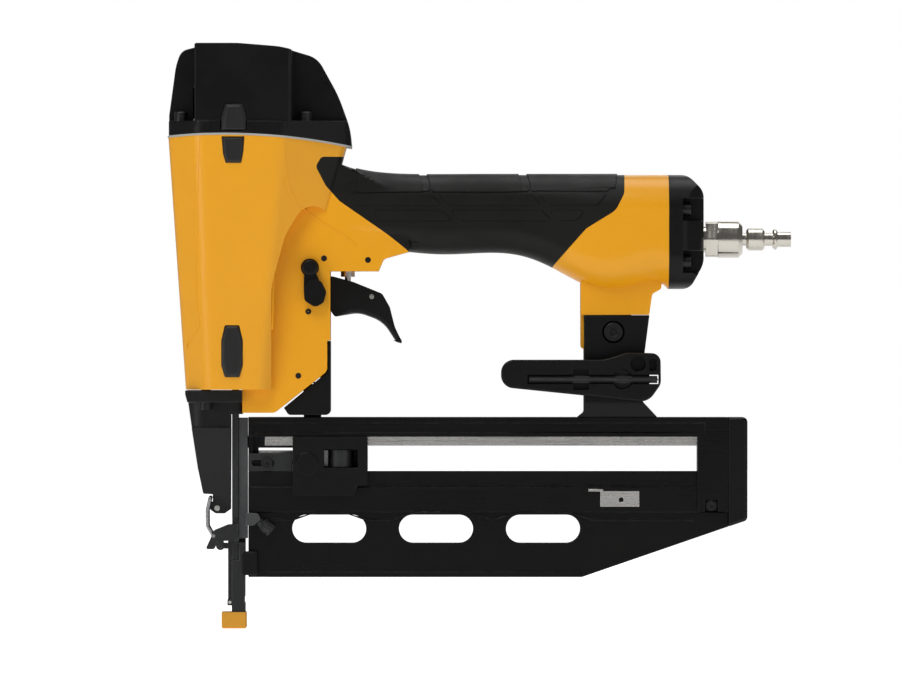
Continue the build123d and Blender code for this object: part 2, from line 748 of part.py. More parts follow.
def make_latch():
    """Latch lever: two cheeks joined by a thumb pad at the front."""
    outline = face(
        [
            (1.8, 52.0),
            (-3.6, 51.7, 3),
            (-10.7, 48.8, 2),
            (-12.0, 45.0),
            (-14.1, 40.6, 0.4),
            (-13.8, 39.6, 0.4),
            (-10.4, 39.6, 0.4),
            (-9.0, 42.6),
            (-8.5, 43.6),
            (1.8, 44.0),
        ]
    )
    lever = side(outline, LATCH_Y[0], LATCH_Y[1]) + side(outline, -LATCH_Y[1], -LATCH_Y[0])
    lever += side(
        face([(-12.4, 44.2), (-14.1, 40.6, 0.4), (-13.8, 39.6, 0.4), (-10.6, 39.6, 0.4), (-10.0, 41.4)]),
        -LATCH_Y[1],
        LATCH_Y[1],
    )
    for sign in MIRROR:
        low, high = sorted((sign * LATCH_Y[0], sign * LATCH_Y[1]))
        lever += rod_y(*LATCH_PIN, 1.9, low, high) + box((-8.6, -5.8), (low, high), (41.2, 44.5))
    lever -= rod_y(*LATCH_PIN, 1.0 + RUN, -20, 20)
    return lever - rod_y(*BAIL_END, BAIL_R + RUN, -20, 20)


def make_bail():
    """Wire loop from the latch lever up to the notch in the nose."""
    ends = [Vector(BAIL_END[0], sign * LATCH_Y[1], BAIL_END[1]) for sign in MIRROR]
    route = [ends[0]]
    for sign in MIRROR:
        leg = [(BAIL_END[0], BAIL_END[1]), (-13.5, 51.0), (-13.6, 59.0), BAIL_TOP]
        points = [Vector(x, sign * BAIL_HALF, z) for x, z in leg]
        route += points if sign < 0 else points[::-1]
    route.append(ends[1])
    path = FilletPolyline(*route, radius=[1.0, 2.5, 5.0, 1.0, 1.0, 5.0, 2.5, 1.0])
    return sweep((path ^ 0) * Circle(BAIL_R), path=path)


def make_contact():
    """Work contact: a fork round the nose, and a link up the far side to the trigger."""
    inner, outer = CONTACT_Y, CONTACT_Y + CONTACT_T
    z_low, z_high = TIP_PAD, 34.0
    fork = side(
        face([(-1.5, z_low), (-1.5, z_high), (5.2, z_high), (5.2, 16.0), (4.6, 14.5), (5.3, 12.5), (5.3, z_low)]),
        -outer,
        outer,
    )
    fork -= box((-10, 10), (-inner, inner), (z_low + 1.2, 60))
    fork -= rod_z(0, 0, 3.2, -1, 5)
    low, high = LINK_Y
    near = box((2.2, 5.2), (-outer, -inner), (z_high - 1, 43.0))
    step = box((1.0, 5.2), (inner, high), (z_high - 4, z_high))
    strap = side(
        face(
            [
                (1.0, z_high - 4),
                (1.0, 96.0, 3),
                (34.2, 96.0),
                (34.2, 122.0),
                (43.0, 122.0),
                (43.0, 90.0, 3),
                (5.2, 90.0),
                (5.2, z_high - 4),
            ]
        ),
        low,
        high,
    )
    cross = box((34.2, 46.4), (-2.6, high), (116.0, 122.0))
    stem = box((42.6, 46.4), (-2.6, 2.6), (116.0, CONTACT_TOP))
    return fork + near + step + strap + cross + stem


def make_tip():
    """Soft pad that clips round the foot of the work contact."""
    outer = CONTACT_Y + CONTACT_T
    half = outer + TIP_WALL
    shell = plan(face([(-6.6, -half, 1), (-6.6, half, 1), (5.9, half, 1), (5.9, -half, 1)]), 0, TIP_H)
    shell = chamfer(shell.edges().group_by(Axis.Z)[0], 0.6)
    shell -= box((-4.4, 5.35), (-inner_tip(), inner_tip()), (TIP_PAD, TIP_H + 1))
    return shell - rod_z(0, 0, 3.0, -1, 5)


def inner_tip():
    return CONTACT_Y + CONTACT_T + 0.05


def make_guard():
    """Cover behind the trigger block that hides the contact link."""
    block = side(
        face(
            [
                (24.6, 110.2),
                (27.0, 106.6, 2),
                (47.9, 106.6, 2.5),
                (47.9, 143.6),
                (46.5, 143.6),
                (46.5, 128.2, 3.8),
            ]
        ),
        -LINK_Y[1] - 1.8,
        LINK_Y[1] + 1.8,
    )
    block -= box((33.6, 46.9), (-3.1, LINK_Y[1] + SLIDE), (100, 144.5))
    return block - rod_y(*ROLL_PINS[2], ROLL_PIN_R, -20, 20)


DEPTH_ORIGIN = (9.4, -9.8, 56.0)
DEPTH_AXIS = (cos(radians(-40)), 0, sin(radians(-40)))


def make_depth_screw():
    """Knurled screw that sets how deep the nail goes."""
    axis = Plane(DEPTH_ORIGIN, z_dir=DEPTH_AXIS)
    shank = axis * Location((0, 0, -2)) * Cylinder(1.45, 6.0, align=ON_BASE)
    collar = axis * Location((0, 0, 4.0)) * Cylinder(2.4, 1.6, align=ON_BASE)
    knob = axis * Location((0, 0, 5.6)) * Cylinder(3.1, 6.2, align=ON_BASE)
    for step in range(18):
        groove = Rot(0, 0, step * 20) * Location((3.1, 0, 5.6)) * Cylinder(0.28, 6.2, align=ON_BASE)
        knob -= axis * groove
    return shank + collar + knob


# ---- magazine ---------------------------------------------------------------------------------
def make_magazine_frame():
    """Top rail and rear post, with shallow grooves along the rail's sides."""
    rail = box((MAG_FRONT, MAG_REAR), (-RAIL_HALF, RAIL_HALF), (RAIL_BOTTOM, MAG_TOP))
    post = box((WINDOW_REAR, MAG_REAR), (-RAIL_HALF, RAIL_HALF), (DECK_BOTTOM, RAIL_BOTTOM))
    frame = rail + post
    for sign in MIRROR:
        low, high = sorted((sign * (RAIL_HALF - 1.2), sign * (RAIL_HALF + 1)))
        frame -= box((MAG_FRONT - 1, MAG_REAR - 12), (low, high), (RAIL_BOTTOM + 2.0, MAG_TOP - 3.0))
    # screw pocket in the near face of the rear post
    x, z = REAR_SCREW
    frame -= box((x - 3.1, x + 3.1), (-RAIL_HALF - 1, -5.0), (z - 3.1, z + 3.1))
    frame -= rod_y(*REAR_SCREW, 1.5, -6.0, 3.0)
    # lug behind the front plate
    lug = [(MAG_FRONT, RAIL_BOTTOM + 1), (MAG_FRONT, DECK_TOP + 0.3), (27, DECK_TOP + 0.3), (27, 87), (9, 87), (9, RAIL_BOTTOM + 1)]
    frame += side(face(lug), -3.6, -1.0)
    frame -= rod_y(*FRONT_SCREW, 1.55, -10, 0)
    # anchor for the pusher's spring
    frame += box((MAG_FRONT, MAG_FRONT + 5), (1.0, PUSHER_ROLLER[1] + 6.6), (DECK_TOP + 0.5, RAIL_BOTTOM + 1))
    return frame - box((0, 40), (-NAIL_GAP / 2, NAIL_GAP / 2), (80, RAIL_BOTTOM + 0.5))


def make_strip():
    """Bright steel strip that the nail heads run under."""
    strip = box((MAG_FRONT + 8.2, WINDOW_REAR), (-STRIP_HALF, STRIP_HALF), (STRIP_BOTTOM, RAIL_BOTTOM))
    return strip - box((0, 240), (-NAIL_GAP / 2, NAIL_GAP / 2), (STRIP_BOTTOM - 1, STRIP_BOTTOM + 1.0))


def magazine_side(sign):
    """One long wall of the nail channel, with three oval windows in its lower part."""
    inner = NAIL_GAP / 2
    y = lambda half: sorted((sign * inner, sign * half))
    deck = box((MAG_FRONT, WINDOW_REAR), y(DECK_HALF), (DECK_BOTTOM, DECK_TOP))
    groove = sorted((sign * (DECK_HALF - 1.4), sign * (DECK_HALF + 1)))
    deck -= box((MAG_FRONT - 1, WINDOW_REAR + 1), groove, (70.6, DECK_TOP + 1))
    wall = side(
        face([(MAG_FRONT, DECK_BOTTOM), (MAG_FRONT, SIDE_BOTTOM), (173.5, SIDE_BOTTOM), (MAG_REAR, TAIL_BOTTOM), (MAG_REAR, DECK_BOTTOM)]),
        *y(SIDE_HALF),
    )
    lip = sorted((sign * SIDE_HALF, sign * (SIDE_HALF + 0.9)))
    wall += box((16.0, 172.5), lip, (SIDE_BOTTOM, SIDE_BOTTOM + 2.6))
    for x in SLOT_X:
        hole = Location((x, SLOT_Z)) * SlotOverall(SLOT_LENGTH, SLOT_H)
        wall -= side(hole, -20, 20)
    return deck + wall


def make_far_wall():
    """The far wall also carries the floor that closes the nail channel."""
    low = SIDE_BOTTOM
    start, tail = MAG_FRONT + 12, TAIL_BOTTOM
    outline = [(start, low), (173.5, low), (MAG_REAR, tail), (MAG_REAR, tail + 2.2), (173.3, low + 1.8), (start, low + 1.8)]
    return magazine_side(1) + side(face(outline), -NAIL_GAP / 2, NAIL_GAP / 2 + 1)


def make_rear_cap():
    x = MAG_REAR + REAR_CAP_T
    outline = [(MAG_REAR, TAIL_BOTTOM), (x, TAIL_BOTTOM + 3.2, 2.5), (x, MAG_TOP, 2.5), (MAG_REAR, MAG_TOP)]
    cap = side(face(outline), -RAIL_HALF - 0.4, RAIL_HALF + 0.4)
    return chamfer(cap.edges().group_by(Axis.X)[-1].filter_by(Axis.Z), 1.2)


def make_front_plate():
    """Plate at the magazine's mouth with the slot for its mounting screw."""
    outline = [(MAG_FRONT, 87.4, 1), (21.0, 87.4, 1), (28.6, 88.4), (28.6, DECK_TOP), (MAG_FRONT, DECK_TOP)]
    plate = side(face(outline), -6.6, -3.6)
    return plate - side(Location((14.0, FRONT_SCREW[1])) * SlotOverall(11.0, 3.2), -20, 20)


FRONT_SCREW = (16.0, 82.6)


def make_magazine_screws():
    """The front plate's screw, and one that holds the rear post."""
    front = rod_y(*FRONT_SCREW, 1.55, -6.6, -1.2) + rod_y(*FRONT_SCREW, 2.8, -8.8, -6.6)
    rear = rod_y(*REAR_SCREW, 1.5, -5.0, 3.0) + rod_y(*REAR_SCREW, 2.6, -7.4, -5.0)
    return group([front - hex_y(*FRONT_SCREW, 2.0, -9, -7.4), rear - hex_y(*REAR_SCREW, 2.0, -8, -6)])


REAR_SCREW = (MAG_REAR - 8.5, 61.2)


def make_pusher():
    """Follower that rides in the window and pushes the nails to the nose."""
    x0, x1 = PUSHER
    plate = side(
        face([(x0, 95.8, 1), (x0, 66.4, 1), (x1 - 6.5, 66.4, 1), (x1 - 5, 71.4, 1), (x1, 71.8, 1), (x1, 95.8, 1)]),
        *PUSHER_Y,
    )
    core = box((x0 + 1, x1), (PUSHER_Y[1] - 0.1, 5.0), (DECK_TOP + SLIDE, STRIP_BOTTOM - SLIDE))
    pusher = plate + core
    pusher -= box((44.5, 61.5), (PUSHER_Y[0] - 1, 3.5), (DECK_TOP + 1.8, STRIP_BOTTOM - 1.8))
    pusher += rod_z(*PUSHER_ROLLER, 1.2, DECK_TOP + 1.0, STRIP_BOTTOM - 1.0)
    disc = rod_y(36.0, 82.2, 5.6, PUSHER_Y[0] - 0.8, PUSHER_Y[0])
    # slot that the flat spring runs through
    pusher -= box((x0, x1), (PUSHER_ROLLER[1] + 6.3, PUSHER_ROLLER[1] + 7.1), (DECK_TOP + 2.0, STRIP_BOTTOM - 2.0))
    return pusher + disc


PUSHER_ROLLER = (53.0, -4.0)


def make_pusher_coil():
    """Constant-force spring wound on its roller, which stands on a pin in the pusher."""
    low, high = DECK_TOP + 2.2, STRIP_BOTTOM - 2.2
    return tube_z(*PUSHER_ROLLER, 6.4, 1.25, low, high)


def make_pusher_spring():
    """Flat spring drawn off the coil as the pusher goes back; its end is held at the rail's front."""
    x, y = PUSHER_ROLLER
    return box((MAG_FRONT + 3, x), (y + 6.6, y + 6.8), (DECK_TOP + 2.4, STRIP_BOTTOM - 2.4))


def make_pusher_blade():
    """Thin blade under the pusher that stands behind the last nail."""
    half = NAIL_GAP / 2 - SLIDE
    blade = side(face([(12, 32, 2), (12, 88.6, 1), (44.3, 88.6), (44.3, 72), (24, 62, 6), (21, 32, 2)]), -half, half)
    return blade - box((30.0, 66), (-9, 9), (DECK_TOP + SLIDE, STRIP_BOTTOM))


def make_retainer():
    """Bright catch that stops the nails from sliding back out of the channel."""
    y = -DECK_HALF
    plate = box((182.5, 202.0), (y - 0.8, y), (60.8, 68.6))
    tongue = box((176.6, 184.0), (y - 0.8, y), (68.4, 69.6))
    return plate + tongue - rod_y(192.9, 64.3, 1.2, -20, 20)


# ---- bracket, hook and key --------------------------------------------------------------------
def make_bracket():
    """Arm between the casting's leg and the magazine."""
    outline = face(
        [
            (BRACKET_FRONT, LEG_BOTTOM - 0.2),
            (207.0, LEG_BOTTOM - 0.2),
            (203.6, 130, 30),
            (203.0, 114, 5),
            (211.0, MAG_TOP),
            (171.0, MAG_TOP),
            (BRACKET_FRONT, 108, 2),
        ]
    )
    arm = side(outline, -BRACKET_HALF, BRACKET_HALF) & end_on(
        face([(-BRACKET_HALF, 160), (-BRACKET_HALF, 112, 8), (-RAIL_HALF, 104), (RAIL_HALF, 104), (BRACKET_HALF, 112, 8), (BRACKET_HALF, 160)]),
        160,
        220,
    )
    arm -= box((160, 198.4), (-TONGUE_HALF - 0.1, TONGUE_HALF + 0.1), (TONGUE_BOTTOM - 0.2, 160))
    arm -= rod_y(*BOLT, BOLT_R, -20, 20) + rod_y(*BOLT, 5.2, -BRACKET_HALF - 1, -BRACKET_HALF + 2.0)
    return arm - rod_y(*HOOK_PIVOT, 2.5, -BRACKET_HALF - 1, 0)


def make_bracket_bolt():
    seat = -BRACKET_HALF + 2.0
    bolt = rod_y(*BOLT, BOLT_R, seat, BRACKET_HALF) + rod_y(*BOLT, 4.6, seat - 3.2, seat)
    return bolt - hex_y(*BOLT, 4.0, seat - 4, seat - 1.2)


def make_hook():
    """Swivelling belt hook with a groove that stores the hex key."""
    outline = face(
        [
            (132.9, 134.2, 6.4),
            (184.0, 134.2, 20),
            (195.5, 137.8, 8),
            (212.2, 137.4, 4.5),
            (212.4, 122.0, 6),
            (206.0, 113.0, 8),
            (187.8, 115.0, 20),
            (132.9, 120.6, 6.4),
        ]
    )
    paddle = side(outline, *HOOK_Y)
    paddle = fillet(paddle.faces().sort_by(Axis.Y)[0].edges(), 1.0)
    boss = rod_y(*HOOK_PIVOT, 8.0, HOOK_Y[1] - 0.5, -BRACKET_HALF - SIDE)
    hook = paddle + boss
    grip = KEY_AF / 2 + 0.45
    z = HOOK_PIVOT[1]
    hook -= box((KEY_X[0] - 1, KEY_X[1] + grip + 0.4), (HOOK_Y[0] - 1, KEY_Y + grip), (z - grip - 0.2, z + grip + 0.2))
    hook -= box((168.8, 176.6), (HOOK_Y[0] - 1, KEY_Y + grip), (z - 5.2, z + 5.2))
    hook -= rod_y(*HOOK_PIVOT, 5.0, HOOK_Y[0] - 1, HOOK_SCREW_SEAT)
    hook -= rod_y(*HOOK_PIVOT, 2.5 + RUN, HOOK_Y[0] - 1, 0)
    hook -= rod_y(201.1, 132.2, 3.9, HOOK_Y[0] - 1, HOOK_Y[0] + 6)
    hook -= side(face([(206.6, 128.6, 1.2), (206.6, 134.6, 1.2), (210.2, 134.6, 1.2), (210.2, 128.6, 1.2)]), HOOK_Y[0] - 1, HOOK_Y[0] + 5)
    return hook - box((KEY_X[1] - grip, KEY_X[1] + grip), (HOOK_Y[0], -10), (z - grip, z + grip))


HOOK_SCREW_SEAT = -20.5


def make_hook_screw():
    """Shoulder screw that the hook turns on."""
    screw = rod_y(*HOOK_PIVOT, 2.5, HOOK_SCREW_SEAT, -1.0) + rod_y(*HOOK_PIVOT, 4.6, HOOK_SCREW_SEAT - 2.6, HOOK_SCREW_SEAT)
    return screw - hex_y(*HOOK_PIVOT, 3.6, HOOK_SCREW_SEAT - 3, HOOK_SCREW_SEAT - 1)


def make_hex_key():
    """Bent hexagonal key: the long arm in the groove, the short one in its hole."""
    z = HOOK_PIVOT[1]
    bar = hex_x(KEY_Y, z, KEY_AF, KEY_X[0], KEY_X[1] + KEY_AF / 2 - 0.2)
    stub = hex_y(KEY_X[1], z, KEY_AF - 0.1, KEY_Y - KEY_AF / 2 + 0.2, -13.4)
    return bar + stub


# ---- rear of the handle -----------------------------------------------------------------------
def make_end_cap():
    """Black rear cap with side pockets for its screws and the air inlet in its middle."""
    profile = face(
        [
            (REAR_X, HANDLE_TOP),
            (226, HANDLE_TOP, 8),
            (END_CAP_BACK, 218, 8),
            (END_CAP_BACK, 182, 12),
            (227, FLARE_BOTTOM, 6),
            (REAR_X, FLARE_BOTTOM),
        ]
    )
    width = face(
        [
            (REAR_X, -END_CAP_HALF),
            (225, -END_CAP_HALF, 7),
            (END_CAP_BACK, -17, 7),
            (END_CAP_BACK, 17, 7),
            (225, END_CAP_HALF, 7),
            (REAR_X, END_CAP_HALF),
        ]
    )
    middle = (HANDLE_TOP + FLARE_BOTTOM) / 2
    high = HANDLE_TOP - FLARE_BOTTOM
    section = Location((0, middle)) * RectangleRounded(2 * END_CAP_HALF, high, 0.72 * END_CAP_HALF)
    cap = side(profile, -40, 40) & plan(width, 150, 250) & end_on(section, REAR_X, 240)
    cap -= box((REAR_X - 1, REAR_X + 9), (-14, 14), (178, 218)) & rod_x(0, INLET_Z, 15, 200, 240)
    for y, z in END_SCREWS:
        low, high_y = sorted((y - (4.4 if y > 0 else -4.4), 30 if y > 0 else -30))
        cap -= box((223.5, 240), (low, high_y), (z - 5.5, z + 5.5))
        cap -= rod_x(y, z, END_SCREW_R, REAR_X - 1, 225)
    return cap - rod_x(0, INLET_Z, STUB_R, 220, 240)


def make_end_screws():
    screws = []
    for y, z in END_SCREWS:
        screw = rod_x(y, z, END_SCREW_R, REAR_X - 12, 223.5) + rod_x(y, z, 3.6, 223.5, 227.4)
        screws.append(screw - hex_x(y, z, 3.0, 225.4, 230))
    return group(screws)


def make_filter():
    """Mesh cup that screens the incoming air."""
    cup = rod_x(0, INLET_Z, 8.0, REAR_X - 14, REAR_X + 8.5) - rod_x(0, INLET_Z, 6.8, REAR_X - 12.8, REAR_X + 9)
    return cup


def make_swivel_base():
    """Threaded stub and hexagon screwed into the end cap, with the spigot the coupling turns on."""
    base = rod_x(0, INLET_Z, STUB_R, REAR_X + 9.2, 235.4)
    hexagon = hex_x(0, INLET_Z, HEX_AF, 235.4, 241.2) & rod_x(0, INLET_Z, HEX_AF / 2 + 0.9, 235.4, 241.2)
    base += hexagon + rod_x(0, INLET_Z, SPIGOT_R, 241.2, 250.0)
    return base - rod_x(0, INLET_Z, AIR_R, 200, 260)


def make_air_plug():
    """Swivelling barrel and quick-coupler plug, turned in one piece."""
    z = INLET_Z
    barrel = rod_x(0, z, BARREL_R, 241.5, 253.6)
    barrel = chamfer(barrel.edges().filter_by(GeomType.CIRCLE).sort_by(Axis.X)[-1], 2.0)
    body = rod_x(0, z, 5.6, 255.6, 264.7)
    body = chamfer(body.edges().filter_by(GeomType.CIRCLE), 1.1)
    collar = rod_x(0, z, 5.1, 268.8, 271.2)
    collar = chamfer(collar.edges().filter_by(GeomType.CIRCLE), 0.8)
    plug = barrel + rod_x(0, z, 3.3, 253.0, 272) + body + collar
    plug += rod_x(0, z, PLUG_TIP_R, 271.0, PLUG_END)
    plug -= rod_x(0, z, SPIGOT_R + RUN, 240, 250.4)
    return plug - rod_x(0, z, AIR_R, 245, 290)


PLUG_END = 277.9


def main():
    os.makedirs("parts", exist_ok=True)
    casting, grip = make_casting_and_grip()
    save("grip_sleeve", grip)
    upper, lower = make_bumpers()
    cap = make_cap()
    cap_bumpers = make_cap_bumpers()
    save("cylinder_cap", cap - cap_bumpers)
    save("side_bumpers", group(upper.solids() + lower.solids() + cap_bumpers.solids()))
    save("cap_gasket", make_gasket())
    save("cap_screws", group(make_socket_screw(x, y, CAP_FLANGE, CAP_SCREW_LENGTH) for x, y in CAP_SCREWS))
    save("housing", casting - upper - lower)

    save("cylinder_sleeve", make_sleeve())
    save("sleeve_seals", make_sleeve_seals())
    save("piston_bumper", make_bumper())
    save("piston", make_piston())
    low = PISTON_TOP - PISTON_H
    save("piston_ring", tube_z(0, 0, BORE_R - 0.04, BORE_R - 2.5, low + 7.1, low + 9.9))
    save("driver_blade", blade_bar(BLADE_TIP, low + 9.9))
    save("head_valve", make_head_valve())
    spring_low = SLEEVE_TOP + 5.2
    spring_top = SLEEVE_TOP + VALVE_H + VALVE_SPRING_H - 0.2
    save("head_valve_spring", coil_z(0, 0, 11.0, 0.9, spring_low, spring_top, 5))

    save("trigger", make_trigger())
    save("trigger_pivot_pin", rod_y(*PIVOT, PIVOT_R, -BLOCK_HALF - SIDE - 2.8, BLOCK_HALF + 1.2))
    save("trigger_rocker", make_rocker())
    half = TRIGGER_HALF - 0.1
    save("rocker_pin", rod_y(*ROCKER_PIN, ROCKER_PIN_R, -half, half))
    save("trigger_valve_body", make_valve_body())
    save("trigger_valve_stem", make_stem())
    save("trigger_valve_spring", coil_z(STEM_X, 0, 3.1, 0.4, 184.3, 198.8, 7))
    save("mode_selector", make_selector())
    save("mode_knob", make_selector_knob())
    save("roll_pins", group(rod_y(x, z, ROLL_PIN_R, -BLOCK_HALF + 0.4, BLOCK_HALF - 0.4) for x, z in ROLL_PINS))

    save("nose_body", make_nose_body())
    save("nose_core", make_core())
    save("nose_plate", make_nose_plate())
    save("nose_screws", group(make_nose_screw(x, y) for x, y in NOSE_SCREWS))
    door_pin = rod_y(*DOOR_HINGE, 0.8, -NOSE_HALF, NOSE_HALF)
    save("nose_pins", group([rod_y(*LUG_PIN, 1.4, -6.2, 6.2), door_pin]))
    save("jam_door", make_door())
    save("latch_lever", make_latch())
    save("latch_bail", make_bail())
    save("work_contact", make_contact())
    save("contact_spring", coil_z(*CONTACT_SPRING, CONTACT_SPRING_R, 0.4, 122.1, CONTACT_SPRING_TOP - 0.1, 8))
    save("nose_pad", make_tip())
    save("link_guard", make_guard())
    save("depth_screw", make_depth_screw())

    save("magazine_frame", make_magazine_frame())
    save("nail_strip_rail", make_strip())
    save("magazine_wall_near", magazine_side(-1))
    save("magazine_wall_far", make_far_wall())
    save("magazine_rear_cap", make_rear_cap())
    save("magazine_front_plate", make_front_plate())
    save("magazine_screws", make_magazine_screws())
    save("pusher", make_pusher())
    save("pusher_coil", make_pusher_coil())
    save("pusher_spring", make_pusher_spring())
    save("pusher_blade", make_pusher_blade())
    save("nail_catch", make_retainer())

    save("magazine_bracket", make_bracket())
    save("bracket_bolt", make_bracket_bolt())
    save("belt_hook", make_hook())
    save("hook_screw", make_hook_screw())
    save("hex_key", make_hex_key())

    save("end_cap", make_end_cap())
    save("end_cap_screws", make_end_screws())
    save("air_filter", make_filter())
    save("swivel_base", make_swivel_base())
    save("air_plug", make_air_plug())


def make_nose_screw(x, y):
    """Screw that holds the nose to the casting from below."""
    shank = rod_z(x, y, NOSE_SCREW_R, FLANGE_BOTTOM, FLOOR_Z + FLOOR_T - 0.3)
    top = FLANGE_BOTTOM
    return shank + rod_z(x, y, 3.4, top - 3.6, top) - rod_z(x, y, 1.5, top - 4, top - 2)


main()
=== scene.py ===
"""Pneumatic finish nail gun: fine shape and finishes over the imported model, in metres."""

import json
from math import cos, pi, radians, sin

import bmesh
import bpy
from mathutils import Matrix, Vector
from mathutils.bvhtree import BVHTree


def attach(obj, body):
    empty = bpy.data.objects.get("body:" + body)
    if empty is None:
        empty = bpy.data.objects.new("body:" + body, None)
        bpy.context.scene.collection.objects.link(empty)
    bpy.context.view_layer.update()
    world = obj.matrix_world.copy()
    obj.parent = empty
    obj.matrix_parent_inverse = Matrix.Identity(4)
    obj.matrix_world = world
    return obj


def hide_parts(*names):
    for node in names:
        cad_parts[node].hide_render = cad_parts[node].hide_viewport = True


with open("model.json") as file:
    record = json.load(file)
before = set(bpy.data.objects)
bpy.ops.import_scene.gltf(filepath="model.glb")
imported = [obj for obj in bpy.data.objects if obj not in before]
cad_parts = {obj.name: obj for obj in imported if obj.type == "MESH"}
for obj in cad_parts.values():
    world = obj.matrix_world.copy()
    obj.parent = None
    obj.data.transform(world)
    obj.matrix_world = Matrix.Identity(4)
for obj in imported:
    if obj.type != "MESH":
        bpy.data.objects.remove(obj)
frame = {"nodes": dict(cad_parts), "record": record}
NODES = frame["nodes"]
BODIES = frame["record"]["behaviour"]["bodies"]
BODY_OF = {node: body for body, members in BODIES.items() for node in members}
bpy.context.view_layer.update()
MM = 0.001


# ---- shader groups -----------------------------------------------------------------------------
def start_group(name, inputs, outputs):
    """An empty shader group with its sockets. Returns the tree, its input node and its output node."""
    tree = bpy.data.node_groups.new(name, "ShaderNodeTree")
    for label, kind, value in inputs:
        socket = tree.interface.new_socket(label, in_out="INPUT", socket_type=kind)
        if value is not None:
            socket.default_value = value
    for label, kind in outputs:
        tree.interface.new_socket(label, in_out="OUTPUT", socket_type=kind)
    return tree, tree.nodes.new("NodeGroupInput"), tree.nodes.new("NodeGroupOutput")


FLOAT, COLOUR, VECTOR = "NodeSocketFloat", "NodeSocketColor", "NodeSocketVector"


def noise(tree, vector, scale, detail=3.0, rough=0.55):
    node = tree.nodes.new("ShaderNodeTexNoise")
    node.inputs["Scale"].default_value = scale
    node.inputs["Detail"].default_value = detail
    node.inputs["Roughness"].default_value = rough
    tree.links.new(vector, node.inputs["Vector"])
    return node.outputs["Fac"]


def spread(tree, value, low, high, to_low=0.0, to_high=1.0):
    """Maps low..high of a value onto to_low..to_high, and holds it there."""
    node = tree.nodes.new("ShaderNodeMapRange")
    node.inputs["From Min"].default_value = low
    node.inputs["From Max"].default_value = high
    node.inputs["To Min"].default_value = to_low
    node.inputs["To Max"].default_value = to_high
    tree.links.new(value, node.inputs["Value"])
    return node.outputs["Result"]


def arith(tree, operation, a, b):
    node = tree.nodes.new("ShaderNodeMath")
    node.operation = operation
    for socket, value in zip(node.inputs, (a, b)):
        if isinstance(value, (int, float)):
            socket.default_value = value
        else:
            tree.links.new(value, socket)
    return node.outputs["Value"]


def blend_colour(tree, factor, a, b, mode="MIX"):
    node = tree.nodes.new("ShaderNodeMix")
    node.data_type, node.blend_type = "RGBA", mode
    for label, value in (("Factor", factor), ("A", a), ("B", b)):
        kind = "VALUE" if label == "Factor" else "RGBA"
        socket = [s for s in node.inputs if s.name == label and s.type == kind][0]
        if isinstance(value, (int, float, tuple)):
            socket.default_value = value
        else:
            tree.links.new(value, socket)
    return [s for s in node.outputs if s.type == "RGBA"][0]


def make_tone_group():
    """Colour that drifts a little in value, in broad clouds and in fine flecks."""
    tree, inp, out = start_group(
        "Tone drift",
        [("Vector", VECTOR, None), ("Colour", COLOUR, (0.5, 0.5, 0.5, 1)), ("Amount", FLOAT, 0.1)],
        [("Colour", COLOUR)],
    )
    broad = noise(tree, inp.outputs["Vector"], 28.0, 4.0)
    fine = noise(tree, inp.outputs["Vector"], 900.0, 2.0)
    mix = arith(tree, "ADD", arith(tree, "MULTIPLY", broad, 0.7), arith(tree, "MULTIPLY", fine, 0.3))
    swing = arith(tree, "MULTIPLY", inp.outputs["Amount"], 4.0)
    shift = arith(tree, "MULTIPLY", arith(tree, "SUBTRACT", mix, 0.5), swing)
    hsv = tree.nodes.new("ShaderNodeHueSaturation")
    tree.links.new(arith(tree, "ADD", shift, 1.0), hsv.inputs["Value"])
    tree.links.new(inp.outputs["Colour"], hsv.inputs["Color"])
    tree.links.new(hsv.outputs["Color"], out.inputs["Colour"])
    return tree


def make_gloss_group():
    """Roughness that varies with handling smudges and fine rubbed spots."""
    tree, inp, out = start_group(
        "Handled gloss",
        [("Vector", VECTOR, None), ("Roughness", FLOAT, 0.4), ("Smudge", FLOAT, 0.1)],
        [("Roughness", FLOAT)],
    )
    broad = spread(tree, noise(tree, inp.outputs["Vector"], 45.0, 5.0, 0.65), 0.35, 0.65, -1, 1)
    fine = spread(tree, noise(tree, inp.outputs["Vector"], 1600.0, 2.0), 0.3, 0.7, -0.4, 0.4)
    shift = arith(tree, "MULTIPLY", arith(tree, "ADD", broad, fine), inp.outputs["Smudge"])
    tree.links.new(arith(tree, "ADD", inp.outputs["Roughness"], shift), out.inputs["Roughness"])
    return tree


def make_grain_group():
    """Height of a moulded or painted surface: close pebbles over a slow ripple."""
    tree, inp, out = start_group(
        "Moulded grain",
        [
            ("Vector", VECTOR, None),
            ("Scale", FLOAT, 2500.0),
            ("Pebble", FLOAT, 1.0),
            ("Ripple", FLOAT, 0.3),
        ],
        [("Height", FLOAT)],
    )
    cells = tree.nodes.new("ShaderNodeTexVoronoi")
    cells.feature = "SMOOTH_F1"
    cells.inputs["Smoothness"].default_value = 0.6
    tree.links.new(inp.outputs["Vector"], cells.inputs["Vector"])
    tree.links.new(inp.outputs["Scale"], cells.inputs["Scale"])
    slow = tree.nodes.new("ShaderNodeTexNoise")
    slow.inputs["Detail"].default_value = 2.0
    tree.links.new(inp.outputs["Vector"], slow.inputs["Vector"])
    tree.links.new(arith(tree, "MULTIPLY", inp.outputs["Scale"], 0.22), slow.inputs["Scale"])
    pebble = arith(tree, "MULTIPLY", cells.outputs["Distance"], inp.outputs["Pebble"])
    ripple = arith(tree, "MULTIPLY", slow.outputs["Fac"], inp.outputs["Ripple"])
    tree.links.new(arith(tree, "ADD", pebble, ripple), out.inputs["Height"])
    return tree


